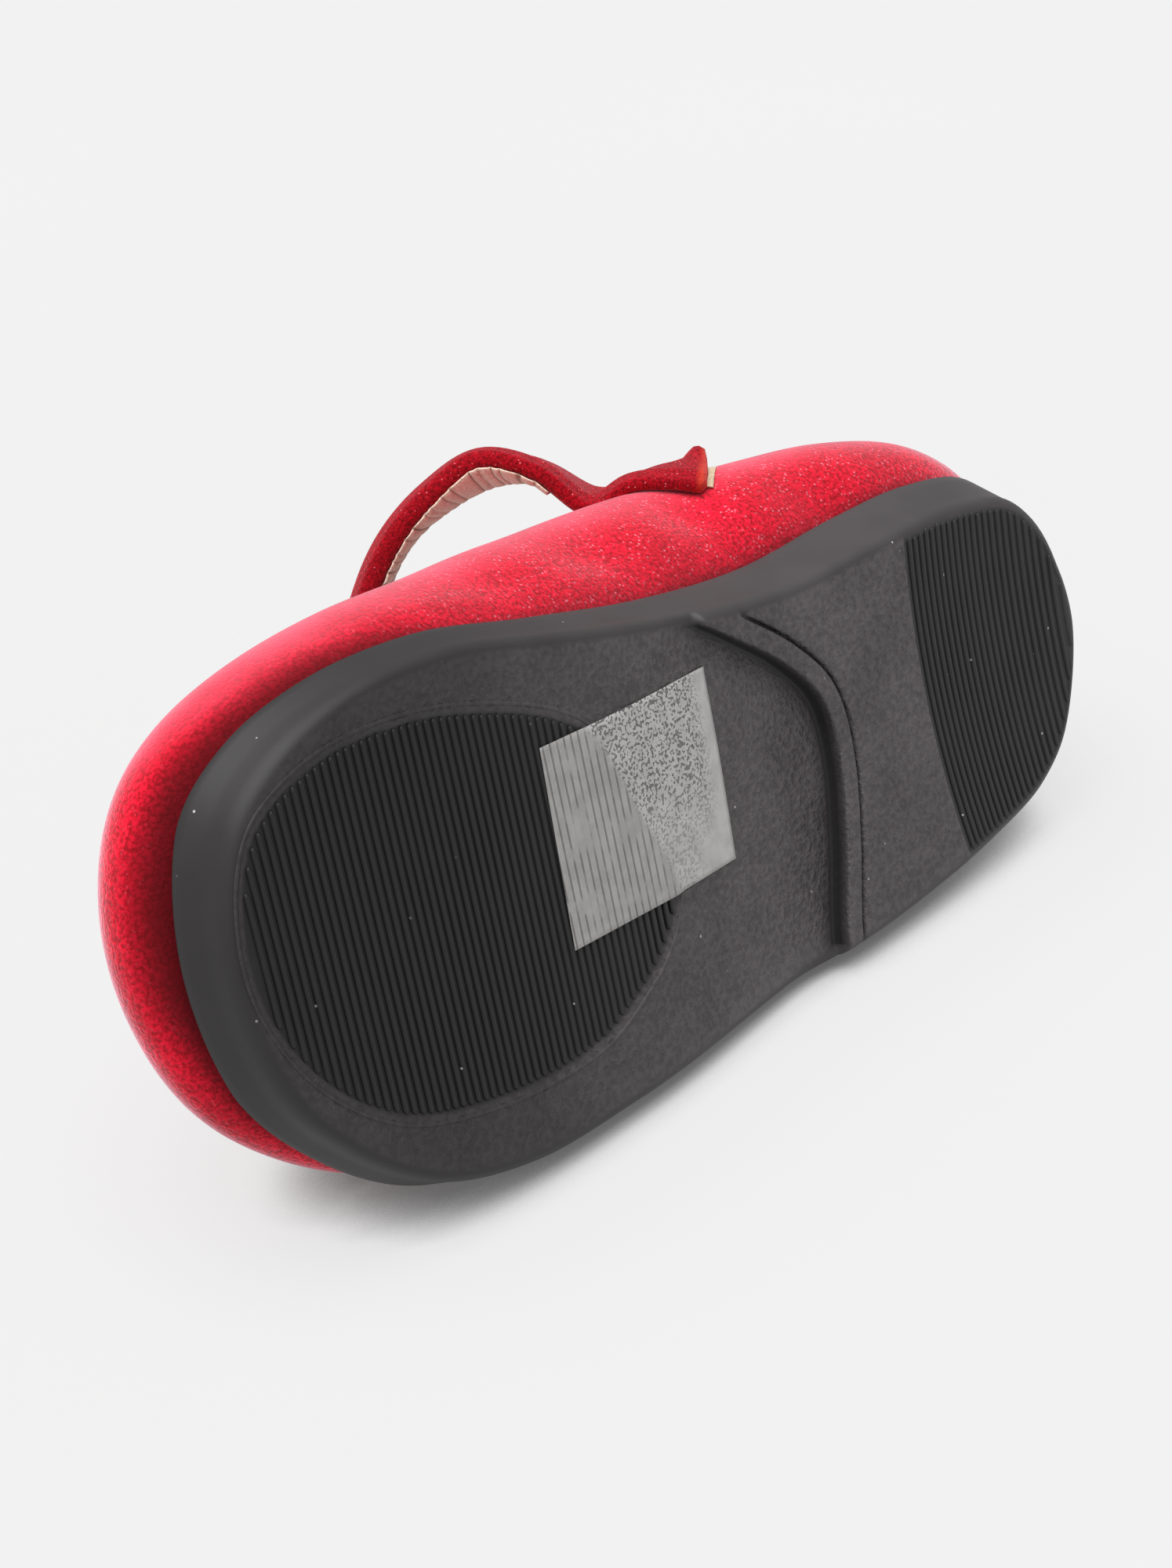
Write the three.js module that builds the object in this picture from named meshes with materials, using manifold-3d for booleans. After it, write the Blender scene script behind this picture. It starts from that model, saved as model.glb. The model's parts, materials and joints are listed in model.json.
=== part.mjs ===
import * as THREE from 'three';
import Module from 'manifold-3d';

// A child's right ballet flat in millimetres. It is drawn standing and then laid on its outer side.
// Standing frame: along runs from heel to toe, side towards the inner foot, rise up from the ground.
const HEEL_TIP = { along: -2.4, side: 1.0 };
const TOE_TIP = { along: 139.4, side: 5.0 };
const GAP = 0.3;

// Sole, a row for each section: half breadths at the rim, how far the wall flares out on each side,
// and the heights of the ground face and of the rim.
const SOLE_SECTIONS = [
  { along: 2.2, medial: 14.6, lateral: 13.2, medialFlare: 2.2, lateralFlare: 2.2, ground: 0.5, rim: 8.2 },
  { along: 10, medial: 21.6, lateral: 19.1, medialFlare: 2.3, lateralFlare: 1.7, ground: 0.1, rim: 8.2 },
  { along: 22, medial: 23.7, lateral: 22.1, medialFlare: 2.3, lateralFlare: 1.0, ground: 0, rim: 8.1 },
  { along: 36, medial: 23.3, lateral: 24.3, medialFlare: 2.2, lateralFlare: 0.8, ground: 0, rim: 8.0 },
  { along: 54, medial: 21.9, lateral: 26.1, medialFlare: 1.9, lateralFlare: 0.6, ground: 0, rim: 7.6 },
  { along: 72, medial: 23.2, lateral: 27.6, medialFlare: 1.6, lateralFlare: 0.6, ground: 0, rim: 6.8 },
  { along: 90, medial: 26.2, lateral: 28.9, medialFlare: 1.3, lateralFlare: 0.6, ground: 0, rim: 5.9 },
  { along: 106, medial: 29.0, lateral: 29.2, medialFlare: 1.2, lateralFlare: 0.7, ground: 0, rim: 5.6 },
  { along: 120, medial: 28.4, lateral: 26.0, medialFlare: 1.2, lateralFlare: 1.0, ground: 0.25, rim: 6.2 },
  { along: 130, medial: 24.8, lateral: 18.8, medialFlare: 1.2, lateralFlare: 1.2, ground: 0.8, rim: 7.6 },
  { along: 136.4, medial: 18.4, lateral: 10.0, medialFlare: 1.2, lateralFlare: 1.2, ground: 1.6, rim: 9.0 },
];
const WAIST = 63;
const SOLE_EDGE_ROUND = 1.6;
const RIM_ROUND = 0.5;

// The step in front of the heel, across the sole from the outer to the inner edge.
const HEEL_STEP = [
  { side: -32, along: 52.8, height: 2.5 },
  { side: -22, along: 52.4, height: 2.5 },
  { side: -12, along: 50.5, height: 2.5 },
  { side: -2, along: 49.5, height: 2.5 },
  { side: 6, along: 51.1, height: 2.5 },
  { side: 12, along: 56.9, height: 2.3 },
  { side: 17, along: 64.4, height: 1.7 },
  { side: 21, along: 70.6, height: 1.1 },
  { side: 30, along: 80.0, height: 0.9 },
];
const ARCH_FRONT = 88;
const ARCH_EXIT = -0.15;

// Upper, a row for each section round the foot: the wall swells past the rim, then leans in to the collar.
// swell is how far it stands out, at height swellRise, and crown how long it stays upright above that.
// The collar point (along, side, rise) closes the section, which reaches it at the angle lean.
const WALL = 2.0;
const FEATHER_IN = 0.9;
const LOW_SHARE = 0.3;
const ARRIVE = 0.36;
const UPPER_SECTIONS = [
  { on: 'heel', swell: 3.6, swellRise: 21, crown: 0.3, collar: [5, 2, 43], lean: 18 },
  { on: 'medial', along: 10, swell: 4.3, swellRise: 19, crown: 0.3, collar: [11, 15, 41], lean: 22 },
  { on: 'medial', along: 30, swell: 6.3, swellRise: 20, crown: 0.3, collar: [30, 22, 37], lean: 24 },
  { on: 'medial', along: 56, swell: 8.6, swellRise: 23, crown: 0.3, collar: [54, 23, 35], lean: 30 },
  { on: 'medial', along: 80, swell: 6.9, swellRise: 20, crown: 0.28, collar: [76, 20, 35], lean: 48 },
  { on: 'medial', along: 104, swell: 2.8, swellRise: 16, crown: 0.26, collar: [89, 14, 35], lean: 70 },
  { on: 'medial', along: 124, swell: 1.3, swellRise: 15, crown: 0.24, collar: [95, 8, 35], lean: 78 },
  { on: 'toe', swell: 2.8, swellRise: 15.5, crown: 0.22, collar: [97, 3, 35], lean: 80 },
  { on: 'lateral', along: 127, swell: 0.7, swellRise: 14, crown: 0.2, collar: [95, -2, 35], lean: 78 },
  { on: 'lateral', along: 106, swell: -2.2, swellRise: 12, crown: 0.16, collar: [89, -8, 34], lean: 66 },
  { on: 'lateral', along: 82, swell: -4.4, swellRise: 21, crown: 0.16, collar: [77, -14.5, 33.5], lean: 42 },
  { on: 'lateral', along: 56, swell: -4.6, swellRise: 23, crown: 0.16, collar: [54, -17.5, 34.5], lean: 24 },
  { on: 'lateral', along: 30, swell: -4.2, swellRise: 22, crown: 0.2, collar: [30, -15.5, 37], lean: 22 },
  { on: 'lateral', along: 10, swell: -1.4, swellRise: 20, crown: 0.24, collar: [11, -9.5, 41], lean: 22 },
];

const INSOLE_IN = 4.6;
const INSOLE_THICK = 2.4;

// Strap: its free end lies on the inner wall, it stands slack over the throat, and it is sewn in at the
// outer wall. Side and rise give its middle line before the twist, in degrees. It leans forward as it rises.
const STRAP_WIDTH = 10.5;
const STRAP_THICK = 2.2;
const STRAP_LEAN = 0.75;
const STRAP_FOOT = 30;
const STRAP_ON_WALL = [{ rise: 19 }, { rise: 22.5 }, { rise: 26 }];
const STRAP_FREE = [
  { side: 30.6, rise: 30, twist: 0 },
  { side: 34.6, rise: 34.4, twist: 10 },
  { side: 37.2, rise: 39.9, twist: 15 },
  { side: 33.9, rise: 45.6, twist: 15 },
  { side: 28.9, rise: 50.6, twist: 9 },
  { side: 22.1, rise: 54.6, twist: 2 },
  { side: 9, rise: 57.2, twist: -5 },
  { side: -3.5, rise: 54, twist: -6 },
  { side: -9.8, rise: 47, twist: -4 },
  { side: -11.8, rise: 39.5, twist: 0 },
];
const STRAP_IN_WALL = [{ rise: 31 }, { rise: 27 }, { rise: 23 }];
const STRAP_PAD_GAP = 0.45;
const STRAP_INNER_GAP = 0.9;
const PAD_THICK = 0.4;
const PAD_GAP = 0.45;
const PAD_WIDTH = 9;
const PAD_FROM = 18.2;
const PAD_TO = 25.4;

const STEPS_LONG = 44;
const STEPS_ROUND = 88;
const STEPS_UP = 12;
const STEPS_ACROSS = 8;
const STEPS_STRAP = 56;
const STEPS_PAD = 6;

const point = (along, side, rise) => new THREE.Vector3(along, side, rise);
const mix = (a, b, share) => a + (b - a) * share;
const vector = (row) => point(row.along, row.side, 0);

// A smooth column of a table, with slopes taken from the neighbouring rows.
function column(rows, key, name, at) {
  const last = rows.length - 1;
  let k = 0;
  while (k < last - 1 && at > rows[k + 1][key]) {
    k += 1;
  }
  const slope = (i) => {
    const low = rows[Math.max(i - 1, 0)];
    const high = rows[Math.min(i + 1, last)];
    return (high[name] - low[name]) / (high[key] - low[key]);
  };
  const a = rows[k];
  const b = rows[k + 1];
  const span = b[key] - a[key];
  const s = Math.min(Math.max((at - a[key]) / span, 0), 1);
  const rise = s * s * (3 - 2 * s);
  const bow = s * (1 - s) * span;
  return mix(a[name], b[name], rise) + bow * ((1 - s) * slope(k) - s * slope(k + 1));
}

const sole = (name, along) => column(SOLE_SECTIONS, 'along', name, along);

// The rim's outline runs from the heel along the inner side to the toe and back along the outer side.
const innerSide = SOLE_SECTIONS.map((row) => point(row.along, row.medial, 0));
const outerSide = SOLE_SECTIONS.map((row) => point(row.along, -row.lateral, 0));
const outline = new THREE.CatmullRomCurve3(
  [vector(HEEL_TIP), ...innerSide, vector(TOE_TIP), ...outerSide.reverse()],
  true,
  'centripetal',
);
outline.arcLengthDivisions = 1200;

function shareWhere(from, to, test) {
  let low = from;
  let high = to;
  for (let k = 0; k < 40; k += 1) {
    const middle = (low + high) / 2;
    if (test(outline.getPointAt(middle))) {
      low = middle;
    } else {
      high = middle;
    }
  }
  return (low + high) / 2;
}

const toeShare = shareWhere(0.4, 0.6, (p) => p.y > TOE_TIP.side);
const innerShare = (along) => shareWhere(0, toeShare, (p) => p.x < along);
const outerShare = (along) => shareWhere(toeShare, 1, (p) => p.x > along);

function outward(share) {
  const tangent = outline.getTangentAt(share);
  return point(-tangent.y, tangent.x, 0);
}

function rimPoint(share, out, rise) {
  const turn = ((share % 1) + 1) % 1;
  const p = outline.getPointAt(turn).addScaledVector(outward(turn), out);
  return p.setZ(rise);
}

// Triangles with shared corners; a face that has shrunk to a line is left out.
function solidMesh(faces) {
  const index = new Map();
  const places = [];
  const corners = [];
  const corner = (p) => {
    const key = [p.x, p.y, p.z].map((v) => Math.round(v * 2000)).join(' ');
    if (!index.has(key)) {
      index.set(key, places.length / 3);
      places.push(p.x, p.y, p.z);
    }
    return index.get(key);
  };
  for (const face of faces) {
    const [a, b, c] = face.map(corner);
    if (a !== b && b !== c && a !== c) {
      corners.push(a, b, c);
    }
  }
  return { places, corners };
}

function quad(a, b, c, d) {
  return [[a, b, c], [a, c, d]];
}

// Skin over a row of closed loops whose first and last loops have shrunk to a line or are capped.
function loft(loops, capped) {
  const faces = [];
  const n = loops[0].length;
  for (let i = 0; i + 1 < loops.length; i += 1) {
    for (let j = 0; j < n; j += 1) {
      const k = (j + 1) % n;
      faces.push(...quad(loops[i][j], loops[i][k], loops[i + 1][k], loops[i + 1][j]));
    }
  }
  if (capped) {
    const first = loops[0];
    const last = loops[loops.length - 1];
    for (let j = 1; j + 1 < n; j += 1) {
      faces.push([first[0], first[j + 1], first[j]]);
      faces.push([last[0], last[j], last[j + 1]]);
    }
  }
  return solidMesh(faces);
}

// A plate that follows the outline: cross lines below and above, joined by rows up both walls.
function plate(levels, heightAt) {
  const loops = [];
  for (let i = 0; i <= STEPS_LONG; i += 1) {
    const u = i / STEPS_LONG;
    const edges = [u * toeShare, 1 - u * (1 - toeShare)];
    const place = (share, level) => {
      const along = outline.getPointAt(share % 1).x;
      const p = rimPoint(share, -level.inset(along, share > toeShare), 0);
      return p.setZ(heightAt(level, p.x));
    };
    const across = (level, from, to) => {
      const a = place(edges[from], level);
      const b = place(edges[to], level);
      const line = [];
      for (let k = 0; k <= STEPS_ACROSS; k += 1) {
        const p = a.clone().lerp(b, k / STEPS_ACROSS);
        line.push(p.setZ(heightAt(level, p.x)));
      }
      return line;
    };
    const walls = levels.slice(1, -1);
    const up = walls.map((level) => place(edges[0], level));
    const down = walls.map((level) => place(edges[1], level)).reverse();
    const low = across(levels[0], 1, 0);
    const high = across(levels[levels.length - 1], 0, 1);
    loops.push([...low, ...up, ...high, ...down]);
  }
  return loft(loops, false);
}

const wasm = await Module();
wasm.setup();

function toManifold(mesh) {
  return new wasm.Manifold(new wasm.Mesh({
    numProp: 3,
    vertProperties: new Float32Array(mesh.places),
    triVerts: new Uint32Array(mesh.corners),
  }));
}

function fromManifold(solid) {
  const mesh = solid.getMesh();
  return { places: Array.from(mesh.vertProperties), corners: Array.from(mesh.triVerts) };
}

// Outsole: rounded lower edge, flared wall, rounded rim.
const flare = (along, outer) => sole(outer ? 'lateralFlare' : 'medialFlare', along);
const SOLE_LEVELS = [
  { inset: (x, outer) => flare(x, outer) + SOLE_EDGE_ROUND, ground: 1, lift: 0 },
  { inset: (x, outer) => flare(x, outer) + SOLE_EDGE_ROUND * 0.3, ground: 1, lift: SOLE_EDGE_ROUND * 0.3 },
  { inset: (x, outer) => flare(x, outer), ground: 1, lift: SOLE_EDGE_ROUND },
  { inset: (x, outer) => flare(x, outer) * 0.3, ground: 0.3, lift: 0 },
  { inset: () => 0, ground: 0, lift: -RIM_ROUND },
  { inset: () => RIM_ROUND, ground: 0, lift: 0 },
];
const soleHeight = (level, along) =>
  mix(sole('rim', along), sole('ground', along), level.ground) + level.lift;

// The hollow in front of the heel step runs out to the ground ahead of the arch, with softened side edges.
function archCutter() {
  const loops = [];
  const sides = 36;
  const runs = 14;
  const below = -4;
  for (let i = 0; i <= sides; i += 1) {
    const side = mix(HEEL_STEP[0].side, HEEL_STEP[HEEL_STEP.length - 1].side, i / sides);
    const back = column(HEEL_STEP, 'side', 'along', side);
    const height = column(HEEL_STEP, 'side', 'height', side);
    const roof = [];
    for (let k = 0; k <= runs; k += 1) {
      const share = k / runs;
      const along = mix(back, ARCH_FRONT, share);
      const half = side > 0 ? sole('medial', along) : sole('lateral', along);
      const depth = Math.max(half - flare(along, side < 0) - Math.abs(side), 0);
      const near = Math.max(1 - depth / SOLE_EDGE_ROUND, 0);
      const fall = 1 - share * share * (3 - 2 * share);
      const soft = SOLE_EDGE_ROUND * (1 - Math.sqrt(1 - near * near)) * fall;
      roof.push(point(along, side, mix(ARCH_EXIT, height, fall) + soft));
    }
    const floor = [point(ARCH_FRONT, side, below), point(back, side, below)];
    loops.push([...roof, ...floor]);
  }
  return loft(loops, true);
}

const outsoleSolid = toManifold(plate(SOLE_LEVELS, soleHeight)).subtract(toManifold(archCutter()));

// Upper: each section runs from the feather line over the swell to the collar.
const upperShare = (row) => {
  const shares = { heel: () => 0, toe: () => toeShare, medial: innerShare, lateral: outerShare };
  return shares[row.on](row.along);
};
const upperRows = UPPER_SECTIONS.map((row) => {
  const [collarAlong, collarSide, collarRise] = row.collar;
  return { ...row, collarAlong, collarSide, collarRise, share: upperShare(row) };
});
const wrapped = [
  ...upperRows.slice(-2).map((row) => ({ ...row, share: row.share - 1 })),
  ...upperRows,
  ...upperRows.slice(0, 2).map((row) => ({ ...row, share: row.share + 1 })),
];
const upperValue = (name, share) => column(wrapped, 'share', name, share);

function upperOuter(turn, v) {
  const share = ((turn % 1) + 1) % 1;
  const edge = outline.getPointAt(share);
  const foot = rimPoint(share, -FEATHER_IN, sole('rim', edge.x) + GAP);
  const swell = rimPoint(share, upperValue('swell', share), upperValue('swellRise', share));
  const collar = point(
    upperValue('collarAlong', share),
    upperValue('collarSide', share),
    upperValue('collarRise', share),
  );
  if (v <= LOW_SHARE) {
    const s = v / LOW_SHARE;
    const bend = swell.clone().setZ(mix(foot.z, swell.z, 0.4));
    return new THREE.QuadraticBezierCurve3(foot, bend, swell).getPoint(s);
  }
  const s = (v - LOW_SHARE) / (1 - LOW_SHARE);
  const reach = swell.distanceTo(collar);
  const lean = THREE.MathUtils.degToRad(upperValue('lean', share));
  const inward = collar.clone().sub(swell).setZ(0).normalize();
  const arrive = inward.multiplyScalar(Math.sin(lean)).setZ(Math.cos(lean));
  const leave = swell.clone().add(point(0, 0, reach * upperValue('crown', share)));
  const enter = collar.clone().addScaledVector(arrive, -reach * ARRIVE);
  return new THREE.CubicBezierCurve3(swell, leave, enter, collar).getPoint(s);
}

function upperNormal(share, v) {
  const step = 0.004;
  const low = Math.max(v - step, 0);
  const high = Math.min(v + step, 1);
  const round = upperOuter(share - step, v).sub(upperOuter(share + step, v));
  const rise = upperOuter(share, high).sub(upperOuter(share, low));
  return round.cross(rise).normalize();
}

const upperPoint = (share, v, out) => upperOuter(share, v).addScaledVector(upperNormal(share, v), out);

function upperInner(share, v) {
  const p = upperPoint(share, v, -WALL);
  if (v === 0) {
    p.setZ(upperOuter(share, 0).z);
  }
  return p;
}

function upperMesh() {
  const faces = [];
  for (let i = 0; i < STEPS_ROUND; i += 1) {
    const a = i / STEPS_ROUND;
    const b = (i + 1) / STEPS_ROUND;
    for (let k = 0; k < STEPS_UP; k += 1) {
      const low = k / STEPS_UP;
      const high = (k + 1) / STEPS_UP;
      faces.push(...quad(upperOuter(a, low), upperOuter(a, high), upperOuter(b, high), upperOuter(b, low)));
      faces.push(...quad(upperInner(a, low), upperInner(b, low), upperInner(b, high), upperInner(a, high)));
    }
    faces.push(...quad(upperOuter(a, 1), upperInner(a, 1), upperInner(b, 1), upperOuter(b, 1)));
    faces.push(...quad(upperOuter(a, 0), upperOuter(b, 0), upperInner(b, 0), upperInner(a, 0)));
  }
  return solidMesh(faces);
}

// Insole: a thin board on the outsole, inside the upper's wall.
const INSOLE_LEVELS = [
  { inset: () => INSOLE_IN, lift: GAP },
  { inset: () => INSOLE_IN, lift: GAP + INSOLE_THICK / 2 },
  { inset: () => INSOLE_IN + 0.4, lift: GAP + INSOLE_THICK },
];
const insoleHeight = (level, along) => sole('rim', along) + level.lift;

// Where the wall stands at a given distance along and height, on one side of the foot.
function wallShares(on, along, rise) {
  let best = { share: on === 'medial' ? innerShare(along) : outerShare(along), v: 0.5 };
  let reach = 0.1;
  const miss = (c) => {
    const p = upperOuter(c.share, c.v);
    return Math.hypot(p.x - along, p.z - rise);
  };
  for (let round = 0; round < 9; round += 1) {
    const centre = best;
    for (let i = -6; i <= 6; i += 1) {
      for (let j = -6; j <= 6; j += 1) {
        const v = Math.min(Math.max(centre.v + reach * 5 * j / 6, 0), 1);
        const trial = { share: centre.share + reach * i / 6, v };
        if (miss(trial) < miss(best)) {
          best = trial;
        }
      }
    }
    reach *= 0.45;
  }
  return best;
}

function wallPlace(on, along, rise, out) {
  const at = wallShares(on, along, rise);
  return upperPoint(at.share, at.v, out);
}

const strapAlong = (rise) => STRAP_FOOT + STRAP_LEAN * rise;
const strapWide = point(-1, 0, STRAP_LEAN).normalize();

function onWall(on, rise, across, out) {
  const offset = strapWide.clone().multiplyScalar(across);
  return wallPlace(on, strapAlong(rise) + offset.x, rise + offset.z, out);
}

const strapSpot = (row) => point(strapAlong(row.rise), row.side, row.rise);

function strapTravel(k) {
  const next = STRAP_FREE[Math.min(k + 1, STRAP_FREE.length - 1)];
  return strapSpot(next).sub(strapSpot(STRAP_FREE[Math.max(k - 1, 0)])).normalize();
}

// A lengthwise line of the strap, at a distance across from its middle: it follows the wall at both ends.
// Between them the strap turns by each row's twist about its near edge.
function strapLine(across) {
  const over = PAD_GAP + PAD_THICK + STRAP_PAD_GAP + STRAP_THICK / 2;
  const inside = -WALL - STRAP_INNER_GAP - STRAP_THICK / 2;
  const fromNear = across + STRAP_WIDTH / 2;
  const free = (row, k) => {
    const wide = strapWide.clone().applyAxisAngle(strapTravel(k), THREE.MathUtils.degToRad(row.twist));
    return strapSpot(row).addScaledVector(strapWide, -STRAP_WIDTH / 2).addScaledVector(wide, fromNear);
  };
  return new THREE.CatmullRomCurve3([
    ...STRAP_ON_WALL.map((row) => onWall('medial', row.rise, across, over)),
    ...STRAP_FREE.map(free),
    ...STRAP_IN_WALL.map((row) => onWall('lateral', row.rise, across, inside)),
  ], false, 'centripetal');
}

// Each column is a line along the strap with the share of the full thickness that it has there.
const STRAP_COLUMNS = [
  { across: -0.5, thick: 0.4 },
  { across: -0.43, thick: 1 },
  { across: 0, thick: 1 },
  { across: 0.43, thick: 1 },
  { across: 0.5, thick: 0.4 },
];

function strapMesh() {
  const lines = STRAP_COLUMNS.map((column) => strapLine(column.across * STRAP_WIDTH));
  const last = lines.length - 1;
  const loops = [];
  for (let i = 0; i <= STEPS_STRAP; i += 1) {
    const share = i / STEPS_STRAP;
    const middles = lines.map((line) => line.getPoint(share));
    const side = (sign) => middles.map((middle, k) => {
      const across = middles[Math.min(k + 1, last)].clone().sub(middles[Math.max(k - 1, 0)]);
      const face = across.cross(lines[k].getTangent(share)).normalize();
      return middle.clone().addScaledVector(face, sign * STRAP_COLUMNS[k].thick * STRAP_THICK / 2);
    });
    loops.push([...side(1), ...side(-1).reverse()]);
  }
  return loft(loops, true);
}

// Fastening pad: a thin patch that follows the inner wall under the strap's free end.
function padMesh() {
  const loops = [];
  for (let i = 0; i <= STEPS_PAD; i += 1) {
    const rise = mix(PAD_FROM, PAD_TO, i / STEPS_PAD);
    const low = [];
    const high = [];
    for (let k = 0; k <= STEPS_PAD; k += 1) {
      const across = mix(-0.5, 0.5, k / STEPS_PAD) * PAD_WIDTH;
      low.push(onWall('medial', rise, across, PAD_GAP));
      high.push(onWall('medial', rise, across, PAD_GAP + PAD_THICK));
    }
    loops.push([...high, ...low.reverse()]);
  }
  return loft(loops, true);
}

const pieces = {
  outsole: fromManifold(outsoleSolid),
  upper: upperMesh(),
  insole: plate(INSOLE_LEVELS, insoleHeight),
  strap: strapMesh(),
  fastening_pad: padMesh(),
};

// The shoe lies on its outer side: it turns until the sole's front edge, its back edge and the upper touch.
function places(mesh, turn) {
  const list = [];
  for (let k = 0; k < mesh.places.length; k += 3) {
    list.push(point(mesh.places[k], mesh.places[k + 1], mesh.places[k + 2]).applyMatrix4(turn));
  }
  return list;
}

function lowest(list) {
  return list.reduce((low, p) => (p.z < low.z ? p : low));
}

const onSide = new THREE.Matrix4().set(-1, 0, 0, 0, 0, 0, 1, 0, 0, 1, 0, 0, 0, 0, 0, 1);

function layDown() {
  let pitch = 0;
  let lean = 0;
  const turned = () => new THREE.Matrix4()
    .makeRotationX(lean)
    .multiply(new THREE.Matrix4().makeRotationY(pitch))
    .multiply(onSide);
  for (let k = 0; k < 60; k += 1) {
    const matrix = turned();
    const soleList = places(pieces.outsole, matrix);
    const back = lowest(soleList.filter((p) => p.x > -WAIST));
    const front = lowest(soleList.filter((p) => p.x <= -WAIST));
    const soft = lowest(places(pieces.upper, matrix));
    pitch += 0.7 * Math.atan2(back.z - front.z, back.x - front.x);
    const ground = mix(front.z, back.z, (soft.x - front.x) / (back.x - front.x));
    lean -= 0.7 * Math.atan2(soft.z - ground, soft.y - front.y);
  }
  return turned();
}

const lie = layDown();
const box = new THREE.Box3();
for (const mesh of Object.values(pieces)) {
  places(mesh, lie).forEach((p) => box.expandByPoint(p));
}
const middle = box.getCenter(point(0, 0, 0));
const shift = new THREE.Matrix4().makeTranslation(-middle.x, -middle.y, -box.min.z);

const MATERIALS = {
  outsole: { color: 0x3d3b3d, roughness: 0.7, metalness: 0 },
  upper: { color: 0xc9182c, roughness: 0.9, metalness: 0 },
  insole: { color: 0xcdb9a6, roughness: 0.9, metalness: 0 },
  strap: { color: 0xa10f20, roughness: 0.9, metalness: 0 },
  fastening_pad: { color: 0xead6b4, roughness: 0.85, metalness: 0 },
};

const shoe = new THREE.Group();
shoe.name = 'ballet_flat';
for (const [name, mesh] of Object.entries(pieces)) {
  const geometry = new THREE.BufferGeometry();
  geometry.setAttribute('position', new THREE.Float32BufferAttribute(mesh.places, 3));
  geometry.setIndex(mesh.corners);
  geometry.computeVertexNormals();
  const material = new THREE.MeshStandardMaterial(MATERIALS[name]);
  material.name = name;
  const solid = new THREE.Mesh(geometry, material);
  solid.name = name;
  shoe.add(solid);
}
shoe.applyMatrix4(shift.multiply(lie));

export default shoe;
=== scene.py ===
# %% [markdown]
# # A child's velvet ballet flat, lying on its side
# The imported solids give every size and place. This lesson dresses them: the moulded rubber sole with its
# ribs, the velvet upper, the strap with its gathered lining, and the small pieces that go with them. Every
# piece is drawn in the shoe's own frame, in millimetres, and laid down at the end by one matrix.

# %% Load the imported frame
import json
import math

import bmesh
import bpy
import numpy as np
from mathutils import Matrix, Vector
from mathutils.bvhtree import BVHTree


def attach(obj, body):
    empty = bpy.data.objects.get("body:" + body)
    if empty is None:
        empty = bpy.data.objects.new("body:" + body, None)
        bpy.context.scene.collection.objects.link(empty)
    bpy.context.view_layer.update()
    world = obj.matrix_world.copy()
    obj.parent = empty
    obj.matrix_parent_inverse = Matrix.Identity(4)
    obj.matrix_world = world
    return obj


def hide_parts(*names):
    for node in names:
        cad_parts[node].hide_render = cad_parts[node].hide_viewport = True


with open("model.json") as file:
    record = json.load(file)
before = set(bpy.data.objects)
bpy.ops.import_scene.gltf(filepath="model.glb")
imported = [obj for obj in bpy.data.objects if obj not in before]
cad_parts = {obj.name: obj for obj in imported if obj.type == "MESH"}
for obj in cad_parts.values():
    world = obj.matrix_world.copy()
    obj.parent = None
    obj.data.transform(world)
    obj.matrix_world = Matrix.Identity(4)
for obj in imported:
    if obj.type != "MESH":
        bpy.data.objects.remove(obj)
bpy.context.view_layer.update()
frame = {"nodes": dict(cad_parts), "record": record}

# %% [markdown]
# ## The shoe's own frame
# A shoe is easiest to think of standing: along from heel to toe, side towards the inner foot, rise from the
# ground. The record's heel mount says where the ground face went when the shoe was laid down, and which way
# it now looks. With the toe's small pitch that fixes one matrix, so no piece is placed by eye in the lying
# frame.

# %% From standing millimetres to lying metres
MM = 0.001
HEEL_MOUNT = Vector((42, -2, 0))
TOE_PITCH = math.radians(4.059)

mount = next(m for m in frame["record"]["mounts"] if m["name"] == "heel_ground")
UP = -Vector(mount["axis"])
lean = Matrix.Rotation(math.atan2(UP.z, UP.y), 3, "X") @ Matrix.Rotation(TOE_PITCH, 3, "Y")
AXES = Matrix((lean @ Vector((-1, 0, 0)), lean @ Vector((0, 0, 1)), UP)).transposed()
SHOE = (
    Matrix.Translation(mount["pos_m"])
    @ AXES.to_4x4()
    @ Matrix.Scale(MM, 4)
    @ Matrix.Translation(-HEEL_MOUNT)
)
print("toe tip lies at", SHOE @ Vector((139.4, 5, 5)))

# %% [markdown]
# ## Camera, floor and light
# The photograph looks at the sole from low in front of the toe. The camera is given in the shoe's frame, as
# the photograph was measured against the shoe, so it keeps its angle to the shoe however that lies. The
# light is a bright even room with one wide soft lamp from above, a little towards the toe and behind, which
# leaves a grey band of shadow in front of the lower edge of the sole.

# %% Camera
LENS = 64.8
EYE = Vector((287.3, 89.6, -206.2))
LOOK_RIGHT = Vector((-0.6808, -0.1634, -0.714))
LOOK_FORWARD = Vector((-0.664, -0.2739, 0.6958))

look_back = (AXES @ -LOOK_FORWARD).normalized()
look_right = (AXES @ LOOK_RIGHT).normalized()
camera_data = bpy.data.cameras.new("photo_camera")
camera_data.lens = LENS
camera_data.clip_start = 0.01
camera = bpy.data.objects.new("photo_camera", camera_data)
turn = Matrix((look_right, look_back.cross(look_right), look_back)).transposed()
camera.matrix_world = Matrix.Translation(SHOE @ EYE) @ turn.to_4x4()
bpy.context.scene.collection.objects.link(camera)
bpy.context.scene.camera = camera
print("camera height", round(camera.matrix_world.translation.z, 4))

# %% Light
ROOM = 0.4
LAMP = 4.7
LAMP_FROM = Vector((-0.28, 0.08, 1.0))
LAMP_SOFTNESS = math.radians(70)

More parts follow.
